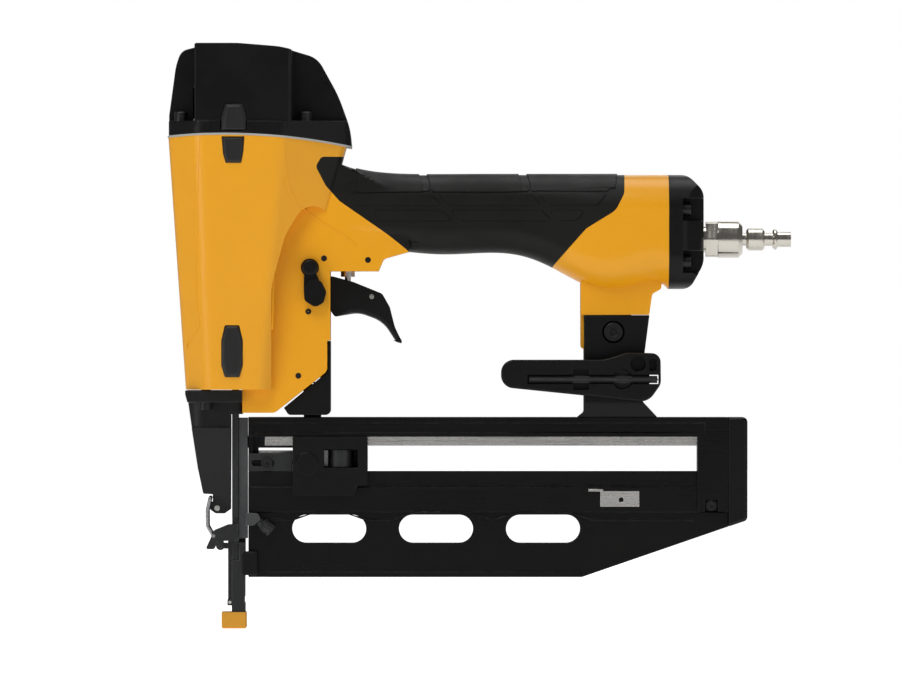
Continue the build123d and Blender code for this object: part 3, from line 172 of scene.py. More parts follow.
def make_lines_group():
    """Height and tone of fine lines left by brushing, grinding or turning, stretched along one axis."""
    tree, inp, out = start_group(
        "Tool lines",
        [("Vector", VECTOR, None), ("Stretch", VECTOR, (1, 1, 1)), ("Scale", FLOAT, 600.0)],
        [("Height", FLOAT), ("Tone", FLOAT)],
    )
    scaled = tree.nodes.new("ShaderNodeVectorMath")
    scaled.operation = "MULTIPLY"
    tree.links.new(inp.outputs["Vector"], scaled.inputs[0])
    tree.links.new(inp.outputs["Stretch"], scaled.inputs[1])
    lines = tree.nodes.new("ShaderNodeTexNoise")
    lines.inputs["Detail"].default_value = 4.0
    tree.links.new(scaled.outputs["Vector"], lines.inputs["Vector"])
    tree.links.new(inp.outputs["Scale"], lines.inputs["Scale"])
    tree.links.new(lines.outputs["Fac"], out.inputs["Height"])
    tree.links.new(spread(tree, lines.outputs["Fac"], 0.35, 0.65, -1, 1), out.inputs["Tone"])
    return tree


def make_wear_group():
    """Mask of rubbed corners: where the rounded normal leaves the true one, broken up by noise."""
    tree, inp, out = start_group(
        "Rubbed corners",
        [("Vector", VECTOR, None), ("Reach", FLOAT, 0.0006), ("Amount", FLOAT, 0.5)],
        [("Mask", FLOAT)],
    )
    soft = tree.nodes.new("ShaderNodeBevel")
    soft.samples = 4
    tree.links.new(inp.outputs["Reach"], soft.inputs["Radius"])
    true = tree.nodes.new("ShaderNodeNewGeometry")
    dot = tree.nodes.new("ShaderNodeVectorMath")
    dot.operation = "DOT_PRODUCT"
    tree.links.new(soft.outputs["Normal"], dot.inputs[0])
    tree.links.new(true.outputs["Normal"], dot.inputs[1])
    edge = spread(tree, dot.outputs["Value"], 0.995, 0.85)
    patch = spread(tree, noise(tree, inp.outputs["Vector"], 220.0, 6.0, 0.7), 0.42, 0.62)
    mask = arith(tree, "MULTIPLY", arith(tree, "MULTIPLY", edge, patch), inp.outputs["Amount"])
    tree.links.new(mask, out.inputs["Mask"])
    return tree


TONE, GLOSS, GRAIN, LINES, WEAR = (
    make_tone_group(),
    make_gloss_group(),
    make_grain_group(),
    make_lines_group(),
    make_wear_group(),
)


def place_group(tree, group, vector, **values):
    node = tree.nodes.new("ShaderNodeGroup")
    node.node_tree = group
    tree.links.new(vector, node.inputs["Vector"])
    for label, value in values.items():
        node.inputs[label].default_value = value
    return node


def finish(
    name,
    colour,
    roughness,
    metallic=0.0,
    drift=0.06,
    smudge=0.05,
    grain=(2600.0, 1.0, 0.4),
    depth=0.00002,
    worn=None,
    lines=None,
    coat=0.0,
    specular=0.5,
):
    """A material: drifting colour, handled gloss, grain or tool lines in its bump, and rubbed corners."""
    mat = bpy.data.materials.new(name)
    mat.use_nodes = True
    tree = mat.node_tree
    shader = tree.nodes["Principled BSDF"]
    shader.inputs["Metallic"].default_value = metallic
    shader.inputs["Specular IOR Level"].default_value = specular
    shader.inputs["Coat Weight"].default_value = coat
    shader.inputs["Coat Roughness"].default_value = 0.12
    where = tree.nodes.new("ShaderNodeTexCoord").outputs["Object"]
    tone = place_group(tree, TONE, where, Colour=(*colour, 1), Amount=drift).outputs["Colour"]
    gloss = place_group(tree, GLOSS, where, Roughness=roughness, Smudge=smudge).outputs["Roughness"]
    pebbles = place_group(tree, GRAIN, where, Scale=grain[0], Pebble=grain[1], Ripple=grain[2])
    height = pebbles.outputs["Height"]
    if lines:
        run = place_group(tree, LINES, where, Stretch=lines[0], Scale=lines[1])
        height = arith(tree, "ADD", height, arith(tree, "MULTIPLY", run.outputs["Height"], lines[2]))
        gloss = arith(tree, "ADD", gloss, arith(tree, "MULTIPLY", run.outputs["Tone"], 0.06))
    if worn:
        mask = place_group(tree, WEAR, where, Reach=worn[1], Amount=worn[2]).outputs["Mask"]
        tone = blend_colour(tree, mask, tone, (*worn[0], 1))
        gloss = arith(tree, "SUBTRACT", gloss, arith(tree, "MULTIPLY", mask, 0.12))
    bump = tree.nodes.new("ShaderNodeBump")
    bump.inputs["Distance"].default_value = depth
    bump.inputs["Strength"].default_value = 1.0
    tree.links.new(height, bump.inputs["Height"])
    tree.links.new(tone, shader.inputs["Base Color"])
    tree.links.new(gloss, shader.inputs["Roughness"])
    tree.links.new(bump.outputs["Normal"], shader.inputs["Normal"])
    return mat


ALONG_X, ALONG_Z, ROUND_X = (0.02, 1, 1), (1, 1, 0.02), (1, 0.03, 0.03)

YELLOW_PAINT = finish(
    "yellow paint", (0.88, 0.385, 0.006), 0.36, drift=0.03, smudge=0.04,
    grain=(900, 0.25, 1.0), depth=0.00003, coat=0.15, specular=0.35,
)
CAP_PLASTIC = finish(
    "cap plastic", (0.0025, 0.0025, 0.0026), 0.38, grain=(3200, 1, 0.3),
    worn=((0.025, 0.025, 0.025), 0.0006, 0.5), specular=0.22,
)
BLACK_PLASTIC = finish(
    "black nylon", (0.0018, 0.0019, 0.0018), 0.38, grain=(2800, 1, 0.4),
    worn=((0.03, 0.03, 0.03), 0.0005, 0.5), specular=0.22,
)
GRIP_RUBBER = finish(
    "grip rubber", (0.0036, 0.0037, 0.003), 0.48, drift=0.1, smudge=0.07,
    grain=(3600, 1, 0.5), depth=0.00003, specular=0.24,
)
BUMPER_RUBBER = finish(
    "bumper rubber", (0.004, 0.004, 0.0036), 0.45, drift=0.08, grain=(3000, 1, 0.5), depth=0.00003,
)
PAD_RUBBER = finish(
    "yellow pad rubber", (0.74, 0.34, 0.02), 0.5, drift=0.06, grain=(2500, 1, 0.5), depth=0.00003,
)
BLACK_ALLOY = finish(
    "black coated alloy", (0.002, 0.002, 0.0019), 0.36, metallic=0.05, specular=0.2, drift=0.12, smudge=0.07,
    grain=(2000, 0.5, 0.8), lines=(ALONG_X, 700, 0.8), worn=((0.20, 0.20, 0.19), 0.0004, 0.35),
)
NOSE_CASTING = finish(
    "black nose casting", (0.005, 0.0052, 0.0052), 0.40, metallic=0.08, specular=0.32, drift=0.1,
    grain=(1300, 1, 0.8), depth=0.00004, worn=((0.16, 0.16, 0.16), 0.0005, 0.4),
)
DARK_STEEL = finish(
    "dark hardened steel", (0.035, 0.036, 0.037), 0.42, metallic=0.7, drift=0.15, smudge=0.08,
    lines=(ALONG_Z, 900, 0.7), worn=((0.35, 0.35, 0.34), 0.0004, 0.5),
)
GREY_STEEL = finish(
    "grey plate steel", (0.075, 0.078, 0.08), 0.40, metallic=0.6, drift=0.12, smudge=0.08,
    lines=(ALONG_Z, 900, 0.7), worn=((0.4, 0.4, 0.4), 0.0004, 0.5),
)
BLACK_OXIDE = finish(
    "black oxide", (0.022, 0.022, 0.023), 0.33, metallic=0.7, drift=0.1,
    worn=((0.3, 0.3, 0.3), 0.0003, 0.5),
)
BRIGHT_STEEL = finish(
    "bright steel", (0.56, 0.55, 0.53), 0.24, metallic=1.0, drift=0.05, lines=(ALONG_X, 1100, 0.6),
    depth=0.00001,
)
NICKEL = finish(
    "nickel plate", (0.62, 0.59, 0.53), 0.20, metallic=1.0, drift=0.06, lines=(ROUND_X, 900, 0.7),
    depth=0.00001,
)
ZINC = finish("zinc plate", (0.5, 0.5, 0.5), 0.34, metallic=0.9, drift=0.1)
SPRING_STEEL = finish("spring steel", (0.34, 0.34, 0.35), 0.3, metallic=1.0, drift=0.08)
BORED_ALLOY = finish(
    "bored alloy", (0.6, 0.6, 0.6), 0.3, metallic=1.0, drift=0.05,
    lines=((0.05, 0.05, 1), 900, 0.7),
)
VALVE_PLASTIC = finish("cream acetal", (0.62, 0.58, 0.48), 0.4, drift=0.04)
GASKET = finish("grey gasket", (0.42, 0.42, 0.40), 0.6, drift=0.08)
MESH_PLASTIC = finish(
    "filter plastic", (0.3, 0.3, 0.3), 0.6, drift=0.08, grain=(1200, 1, 0.2), depth=0.0002,
)

FINISH_OF = {
    "housing": YELLOW_PAINT, "cylinder_cap": CAP_PLASTIC, "grip_sleeve": GRIP_RUBBER,
    "side_bumpers": BUMPER_RUBBER, "nose_pad": PAD_RUBBER, "cap_gasket": GASKET,
    "sleeve_seals": BUMPER_RUBBER, "piston_bumper": BUMPER_RUBBER, "cap_screws": BLACK_OXIDE,
    "end_cap_screws": BLACK_OXIDE, "nose_screws": BLACK_OXIDE, "magazine_screws": BLACK_OXIDE,
    "bracket_bolt": BLACK_OXIDE, "hook_screw": BLACK_OXIDE, "hex_key": BLACK_OXIDE,
    "depth_screw": DARK_STEEL, "cylinder_sleeve": BORED_ALLOY, "piston": BORED_ALLOY,
    "piston_ring": BUMPER_RUBBER, "driver_blade": BRIGHT_STEEL, "head_valve": VALVE_PLASTIC,
    "head_valve_spring": SPRING_STEEL, "trigger": BLACK_PLASTIC, "trigger_pivot_pin": BRIGHT_STEEL,
    "trigger_rocker": ZINC, "rocker_pin": BRIGHT_STEEL, "trigger_valve_body": NICKEL,
    "trigger_valve_stem": BRIGHT_STEEL, "trigger_valve_spring": SPRING_STEEL,
    "mode_selector": BLACK_PLASTIC, "mode_knob": BLACK_PLASTIC, "roll_pins": BLACK_OXIDE,
    "nose_body": NOSE_CASTING, "nose_core": DARK_STEEL, "nose_plate": GREY_STEEL,
    "nose_pins": BRIGHT_STEEL, "jam_door": DARK_STEEL, "latch_lever": DARK_STEEL,
    "latch_bail": SPRING_STEEL, "work_contact": DARK_STEEL, "contact_spring": SPRING_STEEL,
    "link_guard": BLACK_PLASTIC, "magazine_frame": BLACK_ALLOY, "nail_strip_rail": BRIGHT_STEEL,
    "magazine_wall_near": BLACK_ALLOY, "magazine_wall_far": BLACK_ALLOY,
    "magazine_rear_cap": BLACK_PLASTIC, "magazine_front_plate": DARK_STEEL, "pusher": BLACK_PLASTIC,
    "pusher_coil": DARK_STEEL, "pusher_spring": SPRING_STEEL, "pusher_blade": BRIGHT_STEEL,
    "nail_catch": BRIGHT_STEEL, "magazine_bracket": BLACK_PLASTIC, "belt_hook": BLACK_PLASTIC,
    "end_cap": BLACK_PLASTIC, "air_filter": MESH_PLASTIC, "swivel_base": NICKEL, "air_plug": NICKEL,
}


# ---- making pieces -----------------------------------------------------------------------------
def copy_of(node):
    """The node's shape as a bmesh, with its triangles joined at their corners."""
    bm = bmesh.new()
    bm.from_mesh(NODES[node].data)
    bmesh.ops.remove_doubles(bm, verts=bm.verts, dist=2e-6)
    return bm


def crease(bm, angle):
    """Smooth faces, with sharp edges wherever two meet at more than the angle."""
    for face in bm.faces:
        face.smooth = True
    for edge in bm.edges:
        edge.smooth = edge.is_manifold and edge.calc_face_angle(0) < radians(angle)


def piece(name, bm, material, body, replaces=(), round_edges=0.0, angle=30):
    """Finishes a mesh as a piece that rides on a body."""
    crease(bm, angle)
    mesh = bpy.data.meshes.new(name)
    bm.to_mesh(mesh)
    bm.free()
    obj = bpy.data.objects.new(name, mesh)
    bpy.context.scene.collection.objects.link(obj)
    mesh.materials.clear()
    mesh.materials.append(material)
    if round_edges:
        bevel = obj.modifiers.new("rounded edges", "BEVEL")
        bevel.width = round_edges
        bevel.segments = 2
        bevel.limit_method = "ANGLE"
        bevel.angle_limit = radians(angle)
        bevel.use_clamp_overlap = False
        bevel.loop_slide = False
    weighted = obj.modifiers.new("even shading", "WEIGHTED_NORMAL")
    weighted.keep_sharp = True
    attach(obj, body)
    if replaces:
        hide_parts(*replaces)
    return obj


# width of the rounding on each node's edges, in mm; 0 only evens out the shading
SOFT_EDGES = {
    "cylinder_cap": 0.35, "end_cap": 0.3, "link_guard": 0.4, "magazine_bracket": 0.5,
    "magazine_rear_cap": 0.4, "magazine_frame": 0.25, "magazine_wall_near": 0.3,
    "magazine_wall_far": 0.3, "nose_body": 0.35, "nose_plate": 0.15, "nose_core": 0.2,
    "work_contact": 0.25, "nose_pad": 0.25, "mode_selector": 0.15, "pusher": 0.25,
    "belt_hook": 0.15, "nail_catch": 0.15, "trigger_rocker": 0.2, "magazine_front_plate": 0.2,
    "housing": 0, "grip_sleeve": 0, "latch_lever": 0, "jam_door": 0, "mode_knob": 0,
    "swivel_base": 0, "air_plug": 0, "cap_gasket": 0, "bracket_bolt": 0.2, "end_cap_screws": 0,
    "cap_screws": 0, "nail_strip_rail": 0.15,
}


def dress_nodes():
    """Rounds the edges of the nodes in SOFT_EDGES, and gives every other node its material."""
    for node, material in FINISH_OF.items():
        if node in SOFT_EDGES:
            piece("fine_" + node, copy_of(node), material, BODY_OF[node], (node,), SOFT_EDGES[node] * MM)
        elif node not in MADE_AFRESH:
            for holder in NODES[node].material_slots:
                holder.material = material


# ---- shapes laid on a surface ------------------------------------------------------------------
def surface_of(*nodes):
    """The outside of one or more nodes, to lay thin shapes on."""
    bm = bmesh.new()
    for node in nodes:
        bm.from_mesh(NODES[node].data)
    tree = BVHTree.FromBMesh(bm)
    bm.free()
    return tree


def divided(outline, cell):
    """A flat outline of (u, v) points cut into cells, to be laid on a surface."""
    bm = bmesh.new()
    bm.faces.new([bm.verts.new((u, 0, v)) for u, v in outline])
    for axis in (0, 2):
        values = [point[axis // 2] for point in outline]
        steps = max(1, int((max(values) - min(values)) / cell))
        for k in range(1, steps):
            at = min(values) + (max(values) - min(values)) * k / steps
            place = [0.0, 0.0, 0.0]
            place[axis] = at
            normal = [0.0, 0.0, 0.0]
            normal[axis] = 1.0
            whole = bm.verts[:] + bm.edges[:] + bm.faces[:]
            bmesh.ops.bisect_plane(bm, geom=whole, plane_co=place, plane_no=normal)
    return bm


def round_off(bm, edges, width):
    """Rounds some edges of a mesh."""
    bmesh.ops.bevel(
        bm, geom=edges, offset=width, segments=2, profile=0.5, affect="EDGES", material=-1, loop_slide=False
    )


def stand_proud(bm, lift, height, edge):
    """Gives a laid skin its thickness, outward from where it lies, with a rounded rim."""
    bm.normal_update()
    skin = bm.faces[:]
    outward = {vert: vert.normal.copy() for vert in bm.verts}
    for vert in bm.verts:
        vert.co += outward[vert] * lift
    made = bmesh.ops.extrude_face_region(bm, geom=skin)
    raised = [item for item in made["geom"] if isinstance(item, bmesh.types.BMVert)]
    tops = [item for item in made["geom"] if isinstance(item, bmesh.types.BMFace)]
    bm.normal_update()
    for vert in raised:
        near = [face.normal for face in vert.link_faces if face in tops]
        vert.co += sum(near, Vector()).normalized() * height
    top_set = set(tops)
    rim = [edge_ for edge_ in bm.edges if len([f for f in edge_.link_faces if f in top_set]) == 1]
    bmesh.ops.recalc_face_normals(bm, faces=bm.faces)
    round_off(bm, rim, edge)


def lay_on_side(surface, outline, sign, cell=2.2, reach=0.08):
    """Lays an outline of (x, z) on a surface, from the near side (-1) or the far side (+1).

    A point that the surface doesn't reach goes to the nearest place on it.
    """
    bm = divided([(x * MM, z * MM) for x, z in outline], cell * MM)
    for vert in bm.verts:
        hit = surface.ray_cast(Vector((vert.co.x, sign * reach, vert.co.z)), Vector((0, -sign, 0)))[0]
        vert.co = hit if hit else surface.find_nearest(Vector((vert.co.x, sign * 0.02, vert.co.z)))[0]
    bmesh.ops.recalc_face_normals(bm, faces=bm.faces)
    bm.normal_update()
    if sum((face.normal.y for face in bm.faces)) * sign < 0:
        bmesh.ops.reverse_faces(bm, faces=bm.faces)
    return bm


def lay_over_top(surface, outline, middle, cell=2.2):
    """Lays an outline of (x, angle in degrees from straight up) over the handle's back."""
    bm = divided([(x * MM, angle * MM) for x, angle in outline], cell * MM)
    for vert in bm.verts:
        turn = radians(vert.co.z / MM)
        out = Vector((0, sin(turn), cos(turn)))
        start = Vector((vert.co.x, 0, middle * MM)) + out * 0.06
        hit = surface.ray_cast(start, -out)[0]
        vert.co = hit if hit else surface.find_nearest(start - out * 0.03)[0]
    bmesh.ops.recalc_face_normals(bm, faces=bm.faces)
    bm.normal_update()
    if sum((face.normal.z for face in bm.faces)) < 0:
        bmesh.ops.reverse_faces(bm, faces=bm.faces)
    return bm


# grip pads, in mm: rows of (name, low z, high z, left x, right x), and gaps of (middle x, half width)
GRIP_ROWS = (("b", 218.0, 222.0, 55, 189), ("c", 211.3, 216.9, 59, 185), ("d", 203.6, 208.6, 70, 174))
GRIP_GAPS = ((93.8, 2.0), (143.5, 2.1))
HANDLE_MIDDLE = 207.0
TOP_PAD_TURN = 58.0  # degrees that the top row wraps down each side
PAD_SINK, PAD_HEIGHT, PAD_EDGE = 0.25, 0.85, 0.3


def slant(z, at):
    """How far the gaps between the grip's pads lean at a height."""
    return at + (226.4 - z) * 0.70


def make_grip_pads():
    """Raised rubber pads in three columns: one row wraps over the back, three run along each side."""
    surface = surface_of("grip_sleeve")
    for row, low, high, left, right in GRIP_ROWS:
        for column in range(3):
            corners = []
            for z in (low, high):
                start = left + (high - z) * 0.35
                end = right - (high - z) * 0.55
                if column > 0:
                    start = slant(z, GRIP_GAPS[column - 1][0]) + GRIP_GAPS[column - 1][1]
                if column < 2:
                    end = slant(z, GRIP_GAPS[column][0]) - GRIP_GAPS[column][1]
                corners.append((start, end, z))
            (x0, x1, z0), (x2, x3, z1) = corners
            cut = 0.9
            outline = [(x0 + cut, z0), (x1 - cut, z0), (x1, z0 + cut), (x3, z1 - cut)]
            outline += [(x3 - cut, z1), (x2 + cut, z1), (x2, z1 - cut), (x0, z0 + cut)]
            for sign, side_name in ((-1, "near"), (1, "far")):
                bm = lay_on_side(surface, outline, sign)
                stand_proud(bm, -PAD_SINK * MM, PAD_HEIGHT * MM, PAD_EDGE * MM)
                piece(f"grip_pad_{row}{column + 1}_{side_name}", bm, GRIP_RUBBER, "tool")
    turns = (-TOP_PAD_TURN, -30, 0, 30, TOP_PAD_TURN)
    for column in range(3):
        outline = []
        for angle in turns:
            lean = 2.4 * (abs(angle) / TOP_PAD_TURN) ** 2
            start = 60.5 + 1.5 * (abs(angle) > 40)
            if column > 0:
                start = GRIP_GAPS[column - 1][0] + GRIP_GAPS[column - 1][1] + lean
            outline.append((start, angle))
        for angle in reversed(turns):
            lean = 2.4 * (abs(angle) / TOP_PAD_TURN) ** 2
            end = 191 - 1.0 * (abs(angle) > 40)
            if column < 2:
                end = GRIP_GAPS[column][0] - GRIP_GAPS[column][1] + lean
            outline.append((end, angle))
        bm = lay_over_top(surface, outline, HANDLE_MIDDLE)
        stand_proud(bm, -PAD_SINK * MM, PAD_HEIGHT * MM, PAD_EDGE * MM)
        piece(f"grip_pad_a{column + 1}", bm, GRIP_RUBBER, "tool")


def strip_outline(path, half):
    """A band of even width along a path of (x, z) points."""
    left, right = [], []
    for k, point in enumerate(path):
        before, after = path[max(k - 1, 0)], path[min(k + 1, len(path) - 1)]
        run = Vector((after[0] - before[0], after[1] - before[1])).normalized()
        left.append((point[0] - run.y * half, point[1] + run.x * half))
        right.append((point[0] + run.y * half, point[1] - run.x * half))
    return left + right[::-1]


def make_casting_ridges():
    """Low ridges where the barrel's flat sides meet the head and the handle."""
    surface = surface_of("housing")
    rear = [(24.7, 242.4), (25.2, 234), (26.4, 225), (28.4, 217.6)]
    rear += [(32.6, 210.7), (42.2, 203.7), (54.3, 196.4), (61.5, 190.6)]
    front = [(-17.6, 242.6), (-18.4, 209), (-19.3, 174.5), (-18.6, 160), (-17.4, 151)]
    foot = [(-17.4, 151), (-22.3, 143), (-26.4, 139.8)]
    for name, path in (("rear", rear), ("front", front), ("foot", foot)):
        for sign, side_name in ((-1, "near"), (1, "far")):
            bm = lay_on_side(surface, strip_outline(path, 0.55), sign, 3.0)
            stand_proud(bm, -0.22 * MM, 0.42 * MM, 0.12 * MM)
            piece(f"casting_ridge_{name}_{side_name}", bm, YELLOW_PAINT, "tool")


# ---- small parts made afresh -------------------------------------------------------------------
def turned(name, profile, centre, material, body, steps=32):
    """A turned part: a closed profile of (radius, distance along y) spun about a line through a point."""
    bm = bmesh.new()
    origin, across, along = Vector(centre) * MM, Vector((1, 0, 0)), Vector((0, 1, 0))
    verts = [bm.verts.new(origin + across * radius * MM + along * run * MM) for radius, run in profile]
    edges = [bm.edges.new((verts[k], verts[(k + 1) % len(verts)])) for k in range(len(verts))]
    ring = verts + edges
    bmesh.ops.spin(bm, geom=ring, cent=origin, axis=along, angle=2 * pi, steps=steps, use_merge=True)
    bmesh.ops.remove_doubles(bm, verts=bm.verts, dist=1e-7)
    bmesh.ops.recalc_face_normals(bm, faces=bm.faces)
    return piece(name, bm, material, body)


def slab(name, outline, near, far, material, body, round_edges):
    """A flat part from an outline of (x, z) between two depths, with every edge rounded."""
    bm = bmesh.new()
    skin = bm.faces.new([bm.verts.new((x * MM, near * MM, z * MM)) for x, z in outline])
    made = bmesh.ops.extrude_face_region(bm, geom=[skin])
    moved = [item for item in made["geom"] if isinstance(item, bmesh.types.BMVert)]
    bmesh.ops.translate(bm, verts=moved, vec=(0, (far - near) * MM, 0))
    bmesh.ops.recalc_face_normals(bm, faces=bm.faces)
    return piece(name, bm, material, body, (), round_edges * MM)


def laid_strip(name, node, path, half, rise, material, sides=(-1, 1), cell=3.0):
    """A raised line along a path of (x, z), laid on a node's side; rise is (lift, height, rounding)."""
    surface = surface_of(node)
    for sign in sides:
        bm = lay_on_side(surface, strip_outline(path, half), sign, cell)
        stand_proud(bm, *(value * MM for value in rise))
        piece(f"{name}_{'near' if sign < 0 else 'far'}", bm, material, BODY_OF[node])


PIN_AT = (36.9, 158.2)  # x and z of the pin beside the selector, mm


def make_guard_pins():
    """Rolled pin ends that stand a little proud of the trigger block."""
    surface = surface_of("housing")
    x, z = PIN_AT
    for sign, side_name in ((-1, "near"), (1, "far")):
        y = surface.ray_cast(Vector((x * MM, sign * 0.08, z * MM)), Vector((0, -sign, 0)))[0].y / MM
        ring = [(0.35, 0), (0.35, sign * 1.1), (0.55, sign * 1.3)]
        ring += [(1.2, sign * 1.3), (1.45, sign * 1.05), (1.45, 0)]
        turned(f"guard_pin_{side_name}", ring, (x, y - sign * 0.7, z), BLACK_OXIDE, "tool")


def make_cap_lines():
    """The rounded band down the cap's back, and the facets over the flange."""
    rear = [(30.4, 286.6), (36.8, 284.4), (40.2, 282.0), (44.0, 276.4)]
    rear += [(50.4, 265.0), (54.2, 255.2), (56.2, 247.5)]
    laid_strip("cap_rear_band", "cylinder_cap", rear, 1.1, (-0.3, 0.75, 0.3), CAP_PLASTIC)
    for label, x in (("front", -13.0), ("rear", 24.0)):
        path = [(x, 243.5), (x, 252.5)]
        laid_strip(f"cap_facet_{label}", "cylinder_cap", path, 0.5, (-0.25, 0.45, 0.12), CAP_PLASTIC)


def make_corner_covers():
    """The rib in the corner between barrel and trigger block, and the grip's lowest front corner."""
    corner = surface_of("housing", "grip_sleeve")
    for sign, side_name in ((-1, "near"), (1, "far")):
        step = [(18.2, 149.0), (19.6, 149.0), (20.4, 176.5), (18.6, 178.0), (18.2, 176.0)]
        slab(f"casting_corner_{side_name}", step, sign * 16.2, sign * 24.7, YELLOW_PAINT, "tool", 0.5)
        outline = [(86.0, 189.2), (91.6, 189.4), (91.6, 192.8), (85.6, 192.8)]
        bm = lay_on_side(corner, outline, sign, 0.6)
        stand_proud(bm, 0.02 * MM, 0.4 * MM, 0.1 * MM)
        piece(f"grip_corner_{side_name}", bm, GRIP_RUBBER, "tool")


def make_magazine_details():
    """The block at the magazine's lower front, and the raised lines along its near wall."""
    block = [(3.8, 27.2), (4.4, 26.6), (10.8, 26.6), (11.4, 27.2)]
    block += [(11.4, 38.0), (10.8, 38.6), (5.4, 38.6), (3.8, 36.4)]
    slab("magazine_front_block", block, -7.9, -10.4, BLACK_PLASTIC, "tool", 0.5)
    wall, near_only, cell = "magazine_wall_near", (-1,), 12.0
    lip, band = [(16, 54.2), (229, 54.2)], [(70, 71.2), (222, 71.2)]
    laid_strip("magazine_lip", wall, lip, 0.7, (-0.2, 0.7, 0.2), BLACK_ALLOY, near_only, cell)
    laid_strip("magazine_band", wall, band, 0.5, (-0.2, 0.6, 0.15), BLACK_ALLOY, near_only, cell)


# ---- bumpers and trigger -----------------------------------------------------------------------
def make_bumper(name, outer, inner, back, edge_y, crown_y, sign):
    """A rubber strip with a raised middle facet and sloping sides."""
    bm = bmesh.new()
    rings = []
    for outline, y in ((outer, back), (outer, edge_y), (inner, crown_y)):
        verts = [bm.verts.new((x * MM, sign * y * MM, z * MM)) for x, z in outline]
        rings.append([bm.edges.new((verts[k], verts[(k + 1) % len(verts)])) for k in range(len(verts))])
    for low, high in zip(rings, rings[1:]):
        bmesh.ops.bridge_loops(bm, edges=low + high)
    bmesh.ops.holes_fill(bm, edges=rings[0] + rings[2], sides=0)
    bmesh.ops.recalc_face_normals(bm, faces=bm.faces)
    return piece(name, bm, BUMPER_RUBBER, "tool", (), 0.3 * MM, 20)


# outer outline, crown outline, and the y of the back, of the outer edge and of the crown, in mm
BUMPERS = {
    "cap": (
        [(-4.3, 261.4), (4.6, 261.4), (6.5, 254.4), (6.5, 248), (-6.6, 248), (-6.3, 254.4)],
        [(-2.9, 260.1), (3.1, 260.1), (4.1, 254.2), (4.1, 248.8), (-4.1, 248.8), (-4.0, 254.2)],
        30.4,
        32.0,
        33.4,
    ),
    "upper": (
        [(-6, 245.1), (5.4, 245.1), (4.9, 237.8), (3.8, 232), (-4, 232), (-5.3, 236.5)],
        [(-4.4, 244.2), (4.0, 244.2), (3.6, 237.8), (2.8, 233.2), (-3.0, 233.2), (-4.1, 236.7)],
        30.2,
        32.2,
        33.4,
    ),
    "lower": (
        [(-4.5, 151.4), (2.7, 151.4), (4.5, 143.8), (4.3, 131.3)]
        + [(2.7, 125.5), (-4.5, 125.5), (-6.3, 131.3), (-6.3, 143.8)],
        [(-3.4, 150.0), (1.6, 150.0), (3.1, 143.5), (3.0, 131.6)]
        + [(1.6, 126.9), (-3.4, 126.9), (-4.9, 131.6), (-4.9, 143.5)],
        24.0,
        26.3,
        27.25,
    ),
}


def make_bumpers():
    first = None
    for name, (outer, inner, back, edge_y, crown_y) in BUMPERS.items():
        for sign, side_name in ((-1, "near"), (1, "far")):
            obj = make_bumper(f"bumper_{name}_{side_name}", outer, inner, back, edge_y, crown_y, sign)
            first = first or obj
    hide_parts("side_bumpers")


TRIGGER_CHAMFER = 2.4  # width of the rounding along the finger face, mm


def make_trigger():
    """The trigger, with a broad rounded edge along the finger face and the tip."""
    bm = copy_of("trigger")
    bmesh.ops.dissolve_limit(bm, angle_limit=radians(0.05), verts=bm.verts, edges=bm.edges)
    half = max(vert.co.y for vert in bm.verts)
    rim = []
    for edge in bm.edges:
        one, two = (vert.co.y for vert in edge.verts)
        on_side = abs(abs(one) - half) < 1e-5 and abs(abs(two) - half) < 1e-5 and one * two > 0
        middle = (edge.verts[0].co + edge.verts[1].co) / 2 / MM
        under = [face.normal.z < -0.05 for face in edge.link_faces if abs(face.normal.y) < 0.5]
        if on_side and edge.is_manifold and any(under) and 52.5 < middle.x < 84 and middle.z < 165:
            rim.append(edge)

    round_off(bm, rim, TRIGGER_CHAMFER * MM)
    piece("fine_trigger", bm, BLACK_PLASTIC, "trigger", ("trigger",), 0.3 * MM, 35)


MADE_AFRESH = ("side_bumpers", "trigger")
dress_nodes()
make_grip_pads()
make_casting_ridges()
make_guard_pins()
make_cap_lines()
make_corner_covers()
make_magazine_details()
make_bumpers()
make_trigger()


# ---- studio ------------------------------------------------------------------------------------
FLOOR_GLOW, FLOOR_SEEN = 0.42, 1.12  # the floor's light on the part, and as the camera sees it
WORLD_GLOW, WORLD_SEEN = 0.12, 1.0
CAMERA_PLACE = (0.1075, -5.0, 0.14525)


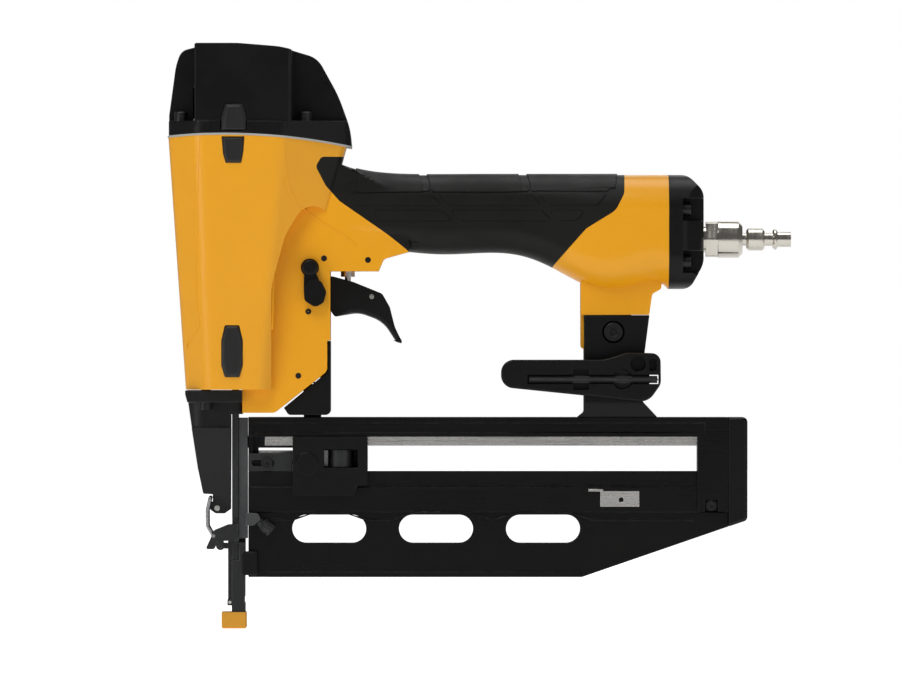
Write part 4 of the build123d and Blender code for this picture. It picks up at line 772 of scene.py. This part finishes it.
def make_floor():
    """A wide pale floor just under the nose pad."""
    bm = bmesh.new()
    bmesh.ops.create_circle(bm, cap_ends=True, segments=96, radius=6.0)
    bmesh.ops.translate(bm, vec=(0.1, 0, -0.0003), verts=bm.verts)
    mesh = bpy.data.meshes.new("floor")
    bm.to_mesh(mesh)
    bm.free()
    floor = bpy.data.objects.new("floor", mesh)
    bpy.context.scene.collection.objects.link(floor)
    mat = bpy.data.materials.new("pale floor")
    mat.use_nodes = True
    tree = mat.node_tree
    shader = tree.nodes["Principled BSDF"]
    shader.inputs["Roughness"].default_value = 0.9
    shader.inputs["Specular IOR Level"].default_value = 0.1
    path = tree.nodes.new("ShaderNodeLightPath")
    strength = spread(tree, path.outputs["Is Camera Ray"], 0, 1, FLOOR_GLOW, FLOOR_SEEN)
    tree.links.new(strength, shader.inputs["Emission Strength"])
    where = tree.nodes.new("ShaderNodeTexCoord").outputs["Object"]
    tone = place_group(tree, TONE, where, Colour=(0.93, 0.93, 0.93, 1), Amount=0.004).outputs["Colour"]
    tree.links.new(tone, shader.inputs["Base Color"])
    tree.links.new(tone, shader.inputs["Emission Color"])
    mesh.materials.append(mat)


def softbox(name, place, aim, size, power):
    """A square area light that faces a point."""
    light = bpy.data.lights.new(name, "AREA")
    light.shape, light.size, light.energy = "SQUARE", size, power
    lamp = bpy.data.objects.new(name, light)
    lamp.location = place
    lamp.rotation_euler = (Vector(aim) - Vector(place)).to_track_quat("-Z", "Y").to_euler()
    bpy.context.scene.collection.objects.link(lamp)


def make_studio():
    make_floor()
    middle = (0.1, 0, 0.15)
    softbox("key light", (-0.35, -0.9, 1.35), middle, 0.7, 8.8)
    softbox("fill light", (1.0, -1.1, 0.55), middle, 0.6, 1.9)
    softbox("front light", (-0.95, -0.85, 0.2), middle, 0.5, 2.0)
    softbox("top light", (0.15, 0.2, 1.5), middle, 0.9, 6.8)
    softbox("back light", (0.5, 1.4, 0.9), middle, 0.9, 3)
    world = bpy.data.worlds.new("studio")
    bpy.context.scene.world = world
    world.use_nodes = True
    tree = world.node_tree
    ground = tree.nodes["Background"]
    ground.inputs["Color"].default_value = (1, 1, 1, 1)
    path = tree.nodes.new("ShaderNodeLightPath")
    strength = spread(tree, path.outputs["Is Camera Ray"], 0, 1, WORLD_GLOW, WORLD_SEEN)
    tree.links.new(strength, ground.inputs["Strength"])
    scene = bpy.context.scene
    scene.view_settings.view_transform = "Standard"
    scene.view_settings.look = "None"
    camera = bpy.data.cameras.new("camera")
    camera.lens, camera.sensor_width = 400, 36
    camera.clip_end = 50
    eye = bpy.data.objects.new("camera", camera)
    eye.location = CAMERA_PLACE
    eye.rotation_euler = (radians(90), 0, 0)
    scene.collection.objects.link(eye)
    scene.camera = eye


make_studio()
